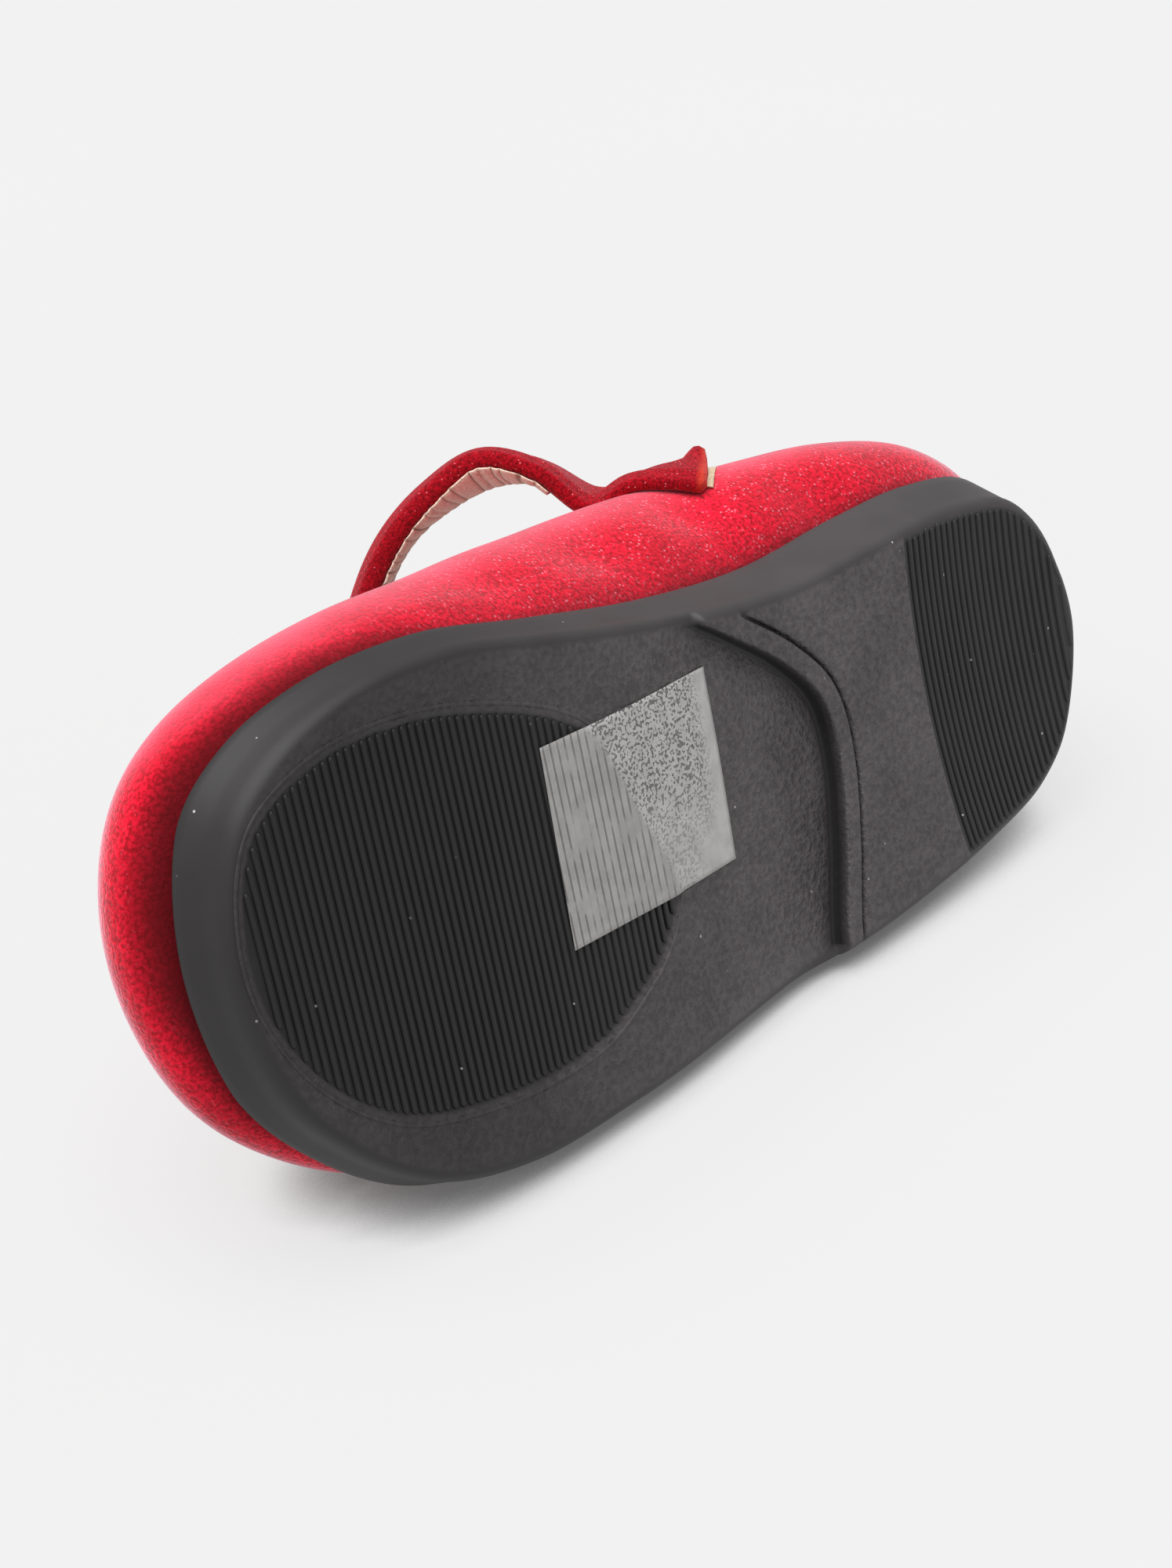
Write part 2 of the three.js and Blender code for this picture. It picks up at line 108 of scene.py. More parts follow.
scene = bpy.context.scene
scene.view_settings.view_transform = "Standard"
room = bpy.data.worlds.new("bright_room")
room.use_nodes = True
scene.world = room
lamp_data = bpy.data.lights.new("soft_lamp", "SUN")
lamp_data.energy = LAMP
lamp_data.angle = LAMP_SOFTNESS
lamp = bpy.data.objects.new("soft_lamp", lamp_data)
lamp.rotation_euler = LAMP_FROM.to_track_quat("Z", "Y").to_euler()
scene.collection.objects.link(lamp)
print("lamp", round(LAMP_FROM.normalized().z, 3))

# %% [markdown]
# ## Shader arithmetic
# A material's pattern is a sum of masks and noises. Drawn as nodes, such a sum is long; written as Python
# it is one line. A Wire holds one socket, and adding or multiplying wires adds the Math nodes. Its node
# method makes any other node from its type, its settings and its inputs.

# %% The Wire class
class Wire:
    """One output socket of a node tree."""

    def __init__(self, socket):
        self.socket = socket

    def node(self, kind, settings, inputs, output=0):
        tree = self.socket.id_data
        made = tree.nodes.new(kind)
        for name, value in settings.items():
            setattr(made, name, value)
        for name, value in inputs.items():
            if isinstance(value, Wire):
                tree.links.new(value.socket, made.inputs[name])
            else:
                made.inputs[name].default_value = value
        return Wire(made.outputs[output])

    def math(self, operation, first, second):
        return self.node("ShaderNodeMath", {"operation": operation}, {0: first, 1: second})

    def __add__(self, other):
        return self.math("ADD", self, other)

    def __sub__(self, other):
        return self.math("SUBTRACT", self, other)

    def __rsub__(self, other):
        return self.math("SUBTRACT", other, self)

    def __mul__(self, other):
        return self.math("MULTIPLY", self, other)

    __radd__ = __add__
    __rmul__ = __mul__

    def ramp(self, low, high):
        """0 at low and 1 at high, with soft ends."""
        settings = {"interpolation_type": "SMOOTHSTEP"}
        return self.node("ShaderNodeMapRange", settings, {"Value": self, "From Min": low, "From Max": high})

    def between(self, first, second):
        """first where this mask is 0 and second where it is 1; each is a colour."""
        return self.node("ShaderNodeMix", {"data_type": "RGBA"}, {0: self, 6: first, 7: second}, 2)

    def noise(self, size, detail=2.0, rough=0.5):
        """Noise at this place, with lumps of about size millimetres."""
        inputs = {"Vector": self, "Scale": 1 / (size * MM), "Detail": detail, "Roughness": rough}
        return self.node("ShaderNodeTexNoise", {}, inputs)

    def cells(self, size):
        """Distance from the nearest of many scattered points, about size millimetres apart."""
        return self.node("ShaderNodeTexVoronoi", {}, {"Vector": self, "Scale": 1 / (size * MM)})

    def bump(self, height, strength=1.0, over=None):
        """A Bump normal of this height field, whose full step is height millimetres."""
        inputs = {"Height": self, "Strength": strength, "Distance": height * MM}
        if over is not None:
            inputs["Normal"] = over
        return self.node("ShaderNodeBump", {}, inputs)


def colour(*channels):
    """A colour as a colour picker shows it, red, green and blue from 0 to 255, for a node's input."""
    linear = [((c / 255 + 0.055) / 1.055) ** 2.4 if c > 10 else c / 3295 for c in channels]
    return (*linear, 1.0)


def finish(name, **constants):
    """A new Principled material, and the Wire of its Object coordinates."""
    material = bpy.data.materials.new(name)
    material.use_nodes = True
    tree = material.node_tree
    for label, value in constants.items():
        tree.nodes["Principled BSDF"].inputs[label.replace("_", " ")].default_value = value
    place = Wire(tree.nodes.new("ShaderNodeTexCoord").outputs["Object"])
    return material, place


def feed(material, **wires):
    """Links wires to the material's Principled sockets."""
    tree = material.node_tree
    for label, wire in wires.items():
        tree.links.new(wire.socket, tree.nodes["Principled BSDF"].inputs[label.replace("_", " ")])


def painted(place, name):
    """The piece's own attribute of that name, 0 to 1."""
    return place.node("ShaderNodeAttribute", {"attribute_name": name}, {}, "Fac")


# %% Floor
# The floor glows, a painted light, so that the lamp's shadow on it stays pale. Close to the shoe the glow is
# dimmed by ambient occlusion, a painted contact shadow that gives the thin dark line of contact. Behind the
# floor's far edge the room shows as pale as the floor, but lights the shoe less.
FLOOR_HALF = 3.0
FLOOR_GLOW = 0.7
BACKDROP = 0.89
CONTACT_REACH = 0.009
paper, paper_place = finish(
    "pale_floor", Roughness=0.8, Specular_IOR_Level=0.0, Emission_Strength=FLOOR_GLOW
)
seen = Wire(room.node_tree.nodes.new("ShaderNodeLightPath").outputs["Is Camera Ray"])
backdrop = seen.between((ROOM, ROOM, ROOM, 1), (BACKDROP, BACKDROP, BACKDROP, 1))
room.node_tree.links.new(backdrop.socket, room.node_tree.nodes["Background"].inputs["Color"])
open_sky = paper_place.node(
    "ShaderNodeAmbientOcclusion", {"samples": 8, "only_local": False}, {"Distance": CONTACT_REACH}, "AO"
)
# Painted contact shadow: the glow goes grey where ambient occlusion finds the shoe close by.
feed(
    paper,
    Base_Color=paper_place.noise(260).ramp(0.2, 0.8).between(colour(89, 89, 89), colour(91, 91, 91)),
    Emission_Color=open_sky.ramp(0.25, 0.75).between(colour(110, 110, 110), colour(255, 255, 255)),
)
floor_mesh = bmesh.new()
bmesh.ops.create_grid(floor_mesh, x_segments=2, y_segments=2, size=FLOOR_HALF)
floor_data = bpy.data.meshes.new("floor")
floor_mesh.to_mesh(floor_data)
floor_mesh.free()
floor = bpy.data.objects.new("floor", floor_data)
floor_data.materials.append(paper)
scene.collection.objects.link(floor)
print("floor", FLOOR_HALF * 2, "m across")

# %% [markdown]
# ## Smooth lines and columns
# The sole's breadths and the strap's route are short tables. A smooth column reads a table between its
# rows, and a smooth line goes through points in space. Grids made by create_grid are then bent along them.

# %% Columns, lines and bent grids
WELD = 0.004


def column(keys, values, at):
    """A smooth value between the rows of a table, level past its ends."""
    keys = np.asarray(keys, float)
    values = np.asarray(values, float)
    at = np.clip(np.asarray(at, float), keys[0], keys[-1])
    slopes = np.gradient(values, keys, edge_order=1)
    slopes[1:-1] = (values[2:] - values[:-2]) / (keys[2:] - keys[:-2])
    k = np.clip(np.searchsorted(keys, at, side="right") - 1, 0, len(keys) - 2)
    span = keys[k + 1] - keys[k]
    s = (at - keys[k]) / span
    bow = s * (1 - s) * span * ((1 - s) * slopes[k] - s * slopes[k + 1])
    return values[k] + (values[k + 1] - values[k]) * s * s * (3 - 2 * s) + bow


def curve_through(points, closed=False, steps=24):
    """Close-set points of a smooth line through a few points."""
    knots = np.asarray(points, float)
    if closed:
        knots = np.vstack([knots[-1], knots, knots[0], knots[1]])
    else:
        knots = np.vstack([2 * knots[0] - knots[1], knots, 2 * knots[-1] - knots[-2]])
    s = np.linspace(0, 1, steps, endpoint=False)[:, None]
    line = []
    for a, b, c, d in zip(knots, knots[1:], knots[2:], knots[3:]):
        t0, t1, t2 = (math.sqrt(np.linalg.norm(q - p)) for p, q in ((a, b), (b, c), (c, d)))
        leave = ((b - a) / t0 - (c - a) / (t0 + t1) + (c - b) / t1) * t1
        enter = ((c - b) / t1 - (d - b) / (t1 + t2) + (d - c) / t2) * t1
        near = (2 * s**3 - 3 * s**2 + 1) * b + (s**3 - 2 * s**2 + s) * leave
        line.append(near + (3 * s**2 - 2 * s**3) * c + (s**3 - s**2) * enter)
    line.append(knots[-2][None])
    return np.vstack(line)


def smoothstep(low, high, value):
    s = np.clip((np.asarray(value, float) - low) / (high - low), 0, 1)
    return s * s * (3 - 2 * s)


class Line:
    """A line with places by share of its length."""

    def __init__(self, points):
        self.points = np.asarray(points, float)
        steps = np.linalg.norm(np.diff(self.points, axis=0), axis=1)
        self.run = np.concatenate([[0], np.cumsum(steps)])
        self.length = self.run[-1]
        self.share = self.run / self.length

    def at(self, share):
        return np.stack([np.interp(share, self.share, axis) for axis in self.points.T], axis=-1)

    def along(self, share, step=0.002):
        """Unit direction of travel."""
        share = np.asarray(share)
        ahead = self.at(np.clip(share + step, 0, 1)) - self.at(np.clip(share - step, 0, 1))
        return ahead / np.linalg.norm(ahead, axis=-1, keepdims=True)


def bent_grid(bm, columns, rows, place):
    """Adds a grid and moves its vertices to place(across, along), each 0 to 1."""
    made = bmesh.ops.create_grid(bm, x_segments=columns, y_segments=rows, size=0.5)
    for vert in made["verts"]:
        vert.co = place(vert.co.x + 0.5, vert.co.y + 0.5)
    return made["verts"]


def piece(bm, name, materials, replaced=()):
    """Lays a bmesh down in the row frame as a finished object on the root body."""
    bm.transform(SHOE)
    mesh = bpy.data.meshes.new(name)
    bm.to_mesh(mesh)
    bm.free()
    mesh.shade_smooth()
    for material in materials:
        mesh.materials.append(material)
    made = bpy.data.objects.new(name, mesh)
    scene.collection.objects.link(made)
    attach(made, "root")
    if replaced:
        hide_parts(*replaced)
    print(name, len(mesh.polygons), "faces")
    return made


# %% [markdown]
# ## Outsole
# The sole is one rubber moulding. Its ground face is flat at the heel, drops into the arch over a curved
# step, and rises at the toe. One grid makes that face: its cross lines run straight at heel and toe and
# bend to follow the step, so the step's crisp edge and the thin groove behind it fall exactly on grid
# lines. The grid's border is then extruded up the side wall, over the rim and closed on top.

# %% The sole's sections
HEEL_TIP = (-2.4, 1.0)
TOE_TIP = (139.4, 5.0)
EDGE_ROUND = 1.6
TOE_ROUND = 1.8
RIM_ROUND = 0.5
ALONG = [2.2, 10, 22, 36, 54, 72, 90, 106, 120, 130, 136.4]
SOLE = {
    "medial": [14.6, 21.6, 23.7, 23.3, 21.9, 23.2, 26.2, 29.0, 28.4, 24.8, 18.4],
    "lateral": [13.2, 19.1, 22.1, 24.3, 26.1, 27.6, 28.9, 29.2, 26.0, 18.8, 10.0],
    "medial_flare": [2.2, 2.3, 2.3, 2.2, 1.9, 1.6, 1.3, 1.2, 1.2, 1.2, 1.2],
    "lateral_flare": [2.2, 1.7, 1.0, 0.8, 0.6, 0.6, 0.6, 0.7, 1.0, 1.2, 1.2],
    "ground": [0.5, 0.1, 0, 0, 0, 0, 0, 0, 0.25, 0.8, 1.6],
    "rim": [8.2, 8.2, 8.1, 8.0, 7.6, 6.8, 5.9, 5.6, 6.2, 7.6, 9.0],
}


def sole(name, along):
    """One of the sole's sections at a distance along."""
    return column(ALONG, SOLE[name], along)


RIM_STEPS = 60
inner_rows = list(zip(ALONG, SOLE["medial"]))
outer_rows = [(x, -y) for x, y in zip(ALONG, SOLE["lateral"])][::-1]
RIM = Line(curve_through([HEEL_TIP, *inner_rows, TOE_TIP, *outer_rows], closed=True, steps=RIM_STEPS))
TOE_SHARE = RIM.share[RIM_STEPS * (len(ALONG) + 1)]


def outward(share, step=0.0008):
    """Unit direction out of the sole at a share of the rim."""
    share = np.asarray(share, float)
    ahead = RIM.at((share + step) % 1) - RIM.at((share - step) % 1)
    ahead /= np.linalg.norm(ahead, axis=-1, keepdims=True)
    return np.stack([-ahead[..., 1], ahead[..., 0]], axis=-1)


def rim_point(share, inset):
    """A place inset from the rim at a share of it."""
    share = np.asarray(share, float) % 1
    return RIM.at(share) - outward(share) * np.asarray(inset)[..., None]


def flare(share):
    """How far the rim overhangs the ground face at a share of it."""
    share = np.asarray(share, float) % 1
    along = RIM.at(share)[..., 0]
    return np.where(share > TOE_SHARE, sole("lateral_flare", along), sole("medial_flare", along))


print("rim runs", round(RIM.length, 1), "mm, toe at", round(TOE_SHARE, 4))

# %% The step in front of the heel
STEP_SIDE = [-32, -22, -12, -2, 6, 12, 17, 21, 30]
STEP_ALONG = [52.8, 52.4, 50.5, 49.5, 51.1, 56.9, 64.4, 70.6, 80.0]
STEP_HEIGHT = [2.5, 2.5, 2.5, 2.5, 2.5, 2.3, 1.8, 1.5, 1.2]
ARCH_FRONT = 88
STEP_PROFILE = {
    -0.34: 0, -0.2: 0.008, -0.08: 0.03, 0.02: 0.08, 0.1: 0.2,
    0.2: 0.55, 0.3: 0.84, 0.42: 0.96, 0.6: 0.99, 0.9: 1.0,
}
STRIP = 2.7
GROOVE_PROFILE = {-0.5: 0, -0.3: 0.08, -0.16: 0.45, 0: 0.75, 0.16: 0.45, 0.3: 0.08, 0.5: 0}

sides = np.linspace(STEP_SIDE[0], STEP_SIDE[-1], 240)
STEP = Line(np.stack([column(STEP_SIDE, STEP_ALONG, sides), sides], axis=-1))


def arch_depth(along, side):
    """How far the hollow in front of the step lies above the ground."""
    back = column(STEP_SIDE, STEP_ALONG, side)
    share = np.clip((along - back) / (ARCH_FRONT - back), 0, 1)
    return column(STEP_SIDE, STEP_HEIGHT, side) * (1 - smoothstep(0, 1, share))


def step_share(from_step):
    """Share of the hollow's depth at a distance in front of the step's edge."""
    return np.interp(from_step, list(STEP_PROFILE), list(STEP_PROFILE.values()))


def groove_depth(from_step):
    """Depth of the thin groove behind the step."""
    return np.interp(from_step + STRIP, list(GROOVE_PROFILE), list(GROOVE_PROFILE.values()))


print("step edge", round(STEP.length, 1), "mm")

# %% The ground face's border
bottom_share = np.linspace(0, 1, 2401)
bottom = rim_point(bottom_share, flare(bottom_share) + EDGE_ROUND)
inner_half = bottom_share <= TOE_SHARE


def bottom_side(along, inner):
    """Side of the ground face's border at a distance along."""
    half = inner_half if inner else ~inner_half
    order = np.argsort(bottom[half][:, 0])
    return np.interp(along, bottom[half][order, 0], bottom[half][order, 1])


def bottom_at(along, inner):
    """Share of the rim above the border at a distance along."""
    half = inner_half if inner else ~inner_half
    order = np.argsort(bottom[half][:, 0])
    return np.interp(along, bottom[half][order, 0], bottom_share[half][order])


print("border", len(bottom), "points")

# %% Cross lines of the ground face
ACROSS = 96
HEEL_ARC = 33.4
HEEL_ARC_SIDE = 11.5
HEEL_ARC_BEND = 0.00462


def heel_arc(side):
    """How far along the heel's rib field starts."""
    return HEEL_ARC - HEEL_ARC_BEND * (side - HEEL_ARC_SIDE) ** 2


def clipped(line):
    """The part of a line inside the border, in even steps, and the rim shares at its two ends."""
    inside = (line[:, 1] < bottom_side(line[:, 0], True)) & (line[:, 1] > bottom_side(line[:, 0], False))
    first, last = np.flatnonzero(inside)[[0, -1]]
    kept = Line(line[first:last + 1]).at(np.linspace(0, 1, ACROSS + 1))
    shares = bottom_at(kept[0, 0], False), bottom_at(kept[-1, 0], True)
    kept[0] = rim_point(shares[0], flare(shares[0]) + EDGE_ROUND)
    kept[-1] = rim_point(shares[1], flare(shares[1]) + EDGE_ROUND)
    return kept, shares


def beside_step(distance):
    """A line parallel to the step, from the outer to the inner border, and its two rim shares."""
    share = np.linspace(0, 1, 900)
    ahead = STEP.along(share)
    return clipped(STEP.at(share) + np.stack([ahead[:, 1], -ahead[:, 0]], axis=-1) * distance)


def straight(outer, inner):
    """A straight line between two rim shares."""
    v = np.linspace(0, 1, ACROSS + 1)[:, None]
    ends = [rim_point(s, flare(s) + EDGE_ROUND) for s in (outer, inner)]
    return ends[0] + (ends[1] - ends[0]) * v


def tip_arc(middle, half):
    """A line along the border round the heel's or the toe's tip, and its rim shares."""
    share = np.linspace(middle - half, middle + half, ACROSS + 1)
    if middle:
        share = share[::-1]
    return rim_point(share, flare(share) + EDGE_ROUND), share


def behind_arc(behind):
    """A line parallel to the heel field's front edge, and its two rim shares."""
    side = np.linspace(-30, 30, 900)
    return clipped(np.stack([heel_arc(side) - behind, side], axis=-1))


def between_lines(first, second, t):
    """A cross line part of the way from one to the next, with its ends on the border."""
    (a, a_ends), (b, b_ends) = first, second
    ends = [p + (q - p) * t for p, q in zip(a_ends, b_ends)]
    line = a + (b - a) * t
    spots = [rim_point(s, flare(s) + EDGE_ROUND) for s in ends]
    v = np.linspace(0, 1, ACROSS + 1)[:, None]
    return line + (spots[0] - line[0]) * (1 - v) + (spots[1] - line[-1]) * v, ends


print("each cross line has", ACROSS, "steps")

# %% All the cross lines, from heel to toe
# Each line is kept with its two rim shares and its distance in front of the step, or a far stand-in for it.
MIDDLE_LINES = 16
TOE_LINES = 150
HEEL_BEHIND = [*np.arange(29.4, 1.2, -0.85), 0.9, 0.62, 0.42, 0.26, 0.1, -0.1, -0.5]
NEAR_FLAT = {-6, -5, -4.2, -1.9, -1.4, -0.8, 2.4, 3.2, 4.2, 5.2}
NEAR = sorted(NEAR_FLAT | {round(g - STRIP, 3) for g in GROOVE_PROFILE} | set(STEP_PROFILE))
NEAR_REACH = 6.5
FAR_BEHIND = -99
FAR_AHEAD = 99

near_lines = [beside_step(d) for d in NEAR]
heel_lines = [behind_arc(b) for b in HEEL_BEHIND]
front_line, (front_outer, front_inner) = near_lines[-1]
lines = []
tip, tip_shares = tip_arc(0, heel_lines[0][1][1] * 0.6)
lines.append((tip, None, FAR_BEHIND))
lines += [(line, ends, FAR_BEHIND) for line, ends in heel_lines]
for k in range(1, MIDDLE_LINES):
    lines.append((*between_lines(heel_lines[-1], near_lines[0], k / MIDDLE_LINES), FAR_BEHIND))
lines += [(line, ends, d) for (line, ends), d in zip(near_lines, NEAR)]
for k in range(1, TOE_LINES):
    t = k / TOE_LINES
    ends = (front_outer + (TOE_SHARE - front_outer) * t, front_inner + (TOE_SHARE - front_inner) * t)
    bend = (front_line - straight(front_outer, front_inner)) * (1 - t) ** 4
    lines.append((straight(*ends) + bend, ends, FAR_AHEAD))
nose, nose_shares = tip_arc(TOE_SHARE, (TOE_SHARE - front_inner) / TOE_LINES * 0.5)
lines.append((nose, None, FAR_AHEAD))
print("cross lines", len(lines))

# %% The rib fields
# The ribs stand in two shallow recesses: an oval under the ball of the foot and the back of the heel.
RECESS = 0.4
DISH_DEEP = 0.25
DISH_WIDE = 2.6
DISH_RUN = (112, 128)
OVAL = [
    (136.4, 5.9), (133.2, 17.0), (125.0, 21.6), (113.5, 22.3), (103.4, 20.4), (93.2, 16.6),
    (88.6, 13.2), (83.6, 3.0), (79.5, -7.8), (82.8, -13.2), (87.6, -16.5), (93.5, -19.2),
    (102.5, -20), (111.5, -19.3), (121.7, -16.7), (129.2, -11.2), (134.2, -3.8),
]
OVAL_MIDDLE = np.array([108.0, 1.5])

oval = Line(curve_through(OVAL, closed=True, steps=30))
around = oval.points - OVAL_MIDDLE
turned = np.arctan2(around[:, 1], around[:, 0])
turn_order = np.argsort(turned)


def inside_oval(along, side):
    """Distance inside the oval, in millimetres, negative outside it."""
    x = along - OVAL_MIDDLE[0]
    y = side - OVAL_MIDDLE[1]
    reaches = np.hypot(*around[turn_order].T)
    reach = np.interp(np.arctan2(y, x), turned[turn_order], reaches, period=2 * math.pi)
    return reach - np.hypot(x, y)


def inside_border(along, side):
    """Rough distance inside the ground face's border."""
    across = np.minimum(bottom_side(along, True) - side, side - bottom_side(along, False))
    return np.minimum(across, (along - bottom[0, 0]) * 0.9)


def recess(along, side):
    """Depth of the rib fields, with a shallow dish round the oval at the toe."""
    inside = inside_oval(along, side)
    dish = DISH_DEEP * smoothstep(-DISH_WIDE, 0, inside) * smoothstep(*DISH_RUN, along)
    ball = (RECESS - dish) * smoothstep(-0.25, 0.4, inside) + dish
    behind = heel_arc(side) - along
    heel = RECESS * smoothstep(0.12, 0.45, behind) * smoothstep(-0.4, 0.5, inside_border(along, side))
    return ball + heel


def ground_rise(along, side, from_step):
    """Height of the ground face, with the fields, the step and the groove."""
    rise = sole("ground", along) + recess(along, side)
    if from_step > -NEAR_REACH:
        fade = smoothstep(-0.6, 1.2, bottom_side(along, True) - side)
        rise = rise + step_share(from_step) * arch_depth(along, side) + groove_depth(from_step) * fade
    return rise


print("oval runs", round(oval.length, 1), "mm")

# %% Ground face
# Four values go with each vertex for the rubber's finish: pebble grain, rib field, painted shade and smooth
# wall.
# Painted shade: the rubber is painted darker towards the toe.
TOE_SHADE = 0.68
TOE_SHADE_RUN = (68, 118)


def toe_shade(along):
    """How much painted shade darkens the rubber towards the toe."""
    return TOE_SHADE * float(smoothstep(*TOE_SHADE_RUN, along))


bm = bmesh.new()
grain = bm.verts.layers.float.new("grain")
tread = bm.verts.layers.float.new("tread")
painted_shade = bm.verts.layers.float.new("painted_shade")
wall = bm.verts.layers.float.new("wall")
rows = len(lines) - 1
made = bmesh.ops.create_grid(bm, x_segments=ACROSS, y_segments=rows, size=0.5)
heights = [ground_rise(line[:, 0], line[:, 1], d) for line, _, d in lines]
ring = {}
for vert in made["verts"]:
    j = round((vert.co.x + 0.5) * ACROSS)
    i = round((vert.co.y + 0.5) * rows)
    line, ends, from_step = lines[i]
    vert.co = (*line[j], heights[i][j])
    field = min(float(inside_oval(*line[j])), 9)
    near_heel = float(heel_arc(line[j][1]) - line[j][0])
    vert[grain] = float(smoothstep(0.4, -0.8, field) * smoothstep(0.2, -0.4, near_heel))
    vert[grain] *= float(smoothstep(0.1, 2.4, inside_border(*line[j])))
    vert[tread] = float(max(smoothstep(0.0, 0.4, field), smoothstep(0.0, 0.4, near_heel)))
    vert[painted_shade] = toe_shade(line[j][0])
    # Painted shade on the step's wall, a little at its foot, and in the groove behind it.
    if abs(from_step) < NEAR_REACH:
        on_wall = smoothstep(-0.05, 0.2, from_step) * smoothstep(1.3, 0.5, from_step)
        foot = 0.4 * smoothstep(3.6, 0.4, from_step) * (from_step > 0)
        vert[painted_shade] = float(max(on_wall, foot, smoothstep(0.35, 0.1, abs(from_step + STRIP))))
        vert[grain] *= float(1 - on_wall)
    if ends is None:
        shares = tip_shares if i == 0 else nose_shares
        ring[vert] = (float(shares[j]), heights[i][j])
    elif j in (0, ACROSS):
        ring[vert] = (float(ends[0 if j == 0 else 1]), heights[i][j])
print("ground face", len(bm.faces), "faces")

# %% Side wall
WALL_TURNS = [math.radians(a) for a in (22, 45, 68, 90)]
WALL_EVEN = [0.2, 0.55, 0.85, 1.0]
WALL_SMOOTH = 3.0
WALL_SHARES = [0.25, 0.5, 0.75]
RIM_TURNS = [math.radians(a) for a in (0, 35, 65, 90)]
TOP_IN = 3.4
TOE_ROUND_RUN = (112, 134)

border_spots = np.array(sorted((share % 1, low) for share, low in ring.values()))


def soft_height(share):
    """The border's height near a share of the rim, evened out so that the step does not crease the wall."""
    away = (border_spots[:, 0] - share + 0.5) % 1 - 0.5
    weight = np.exp(-0.5 * (away * RIM.length / WALL_SMOOTH) ** 2) + 1e-9
    return float((weight * border_spots[:, 1]).sum() / weight.sum())


def wall_levels(share, low):
    """Places up the wall: round the lower edge, up the flare, round the rim and in over the top."""
    out = float(flare(share))
    along = float(RIM.at(share % 1)[0])
    high = float(sole("rim", along))
    soft = soft_height(share)
    up = EDGE_ROUND + TOE_ROUND * float(smoothstep(*TOE_ROUND_RUN, along))
    levels = []
    for a, even in zip(WALL_TURNS, WALL_EVEN):
        foot = low + (soft - low) * even
        levels.append((out + EDGE_ROUND * (1 - math.sin(a)), foot + up * (1 - math.cos(a))))
    start = levels[-1][1]
    levels += [(out * (1 - t), start + (high - RIM_ROUND - start) * t) for t in WALL_SHARES]
    levels += [(RIM_ROUND * (1 - math.cos(a)), high - RIM_ROUND * (1 - math.sin(a))) for a in RIM_TURNS]
    levels.append((TOP_IN, high))
    return [(*rim_point(share, inset), rise) for inset, rise in levels]


level_count = len(WALL_TURNS) + len(WALL_SHARES) + len(RIM_TURNS) + 1
climb = {vert: wall_levels(*start) for vert, start in ring.items()}
for level in range(level_count):
    border = [edge for edge in bm.edges if edge.is_boundary]
    grown = bmesh.ops.extrude_edge_only(bm, edges=border)
    raised = {}
    for vert in grown["geom"]:
        if isinstance(vert, bmesh.types.BMVert):
            below = next(e.other_vert(vert) for e in vert.link_edges if e.other_vert(vert) in climb)
            raised[vert] = climb[below]
            vert.co = climb[below][level]
            vert[grain] = 0.0
            vert[tread] = 0.0
            vert[painted_shade] = toe_shade(vert.co.x)
            vert[wall] = 1.0
    climb = raised
bmesh.ops.contextual_create(bm, geom=[edge for edge in bm.edges if edge.is_boundary])
bmesh.ops.recalc_face_normals(bm, faces=bm.faces)
sole_mesh = bm
print("sole faces", len(bm.faces), "closed", all(edge.is_manifold for edge in bm.edges))

# %% [markdown]
# ### Rubber
# The compound is a warm dark grey that has gone matt. It is painted darker towards the toe, on the step's
# wall, in the groove and over the rib fields: painted shade. The flats carry a fine pebble grain from the
# mould, the wall is smooth, and a few specks of white dust lie on it. The grain is bump; the steps and ribs
# are real.

# %% Rubber finish
rubber, at = finish("sole_rubber", Roughness=0.5, Specular_IOR_Level=0.3)
pebble = at.noise(0.75, 2.0, 0.55)
pits = (pebble - 0.5) * painted(at, "grain")
fine = at.noise(0.1, 1.0)
dust = at.cells(3.4).ramp(0.055, 0.035) * at.noise(7).ramp(0.5, 0.6)
shade = at.noise(9, 3.0).ramp(0.3, 0.7)
speckled = (pebble.ramp(0.3, 0.7) * 0.6 + shade * 0.4).between(colour(62, 58, 59), colour(90, 86, 87))
worn_grey = painted(at, "wall").between(speckled, shade.between(colour(58, 55, 56), colour(63, 60, 61)))
# The rib fields and their ribs are painted a darker grey, a painted shade of their recesses.
tread_shade_grey = shade.between(colour(44, 43, 44), colour(48, 47, 48))
rubber_grey = painted(at, "tread").between(worn_grey, tread_shade_grey)
# Painted shade darkens the rubber towards near black on the step's wall, in the groove and towards the toe.
rubber_grey = (painted(at, "painted_shade") * 0.9).between(rubber_grey, colour(17, 16, 17))
feed(
    rubber,
    Base_Color=dust.between(rubber_grey, colour(170, 168, 166)),
    Roughness=0.5 + shade * 0.06,
    Normal=pits.bump(0.6, 1.0, fine.bump(0.02, 0.5)),
)
piece(sole_mesh, "rubber_sole", [rubber], ["outsole"])

# %% [markdown]
# ### Ribs
# The tread is a field of fine bars, straight under the ball and in arcs under the heel. Each bar is a small
# grid rolled into a tube, flat underneath and round on top, and closed at both ends.

# %% Rib bars
BALL_FROM = 77.8
BALL_PITCH = 1.057
BALL_CROWD = 0.954
BALL_LEAN = 0.047
HEEL_PITCH = 1.1
HEEL_SPREAD = 4.11
HEEL_SPREAD_AT = 24
HEEL_SPREAD_POWER = 3.5
HEEL_FIRST = 0.32
HEEL_COUNT = 27
RIB_HALF = 0.32
RIB_RING = 10
RIB_SINK = 0.15
RIB_END = 0.5
RIB_STOPS = [0, 0.05, 0.16, 0.32, 0.5]
RIB_INSET = 0.3
RIB_LEAST = 0.9
BALL_ROWS = 6
HEEL_ROWS = 30
HEEL_OVERRUN = 0.35
HEEL_LEAST = 60
HEEL_SKIP = 8


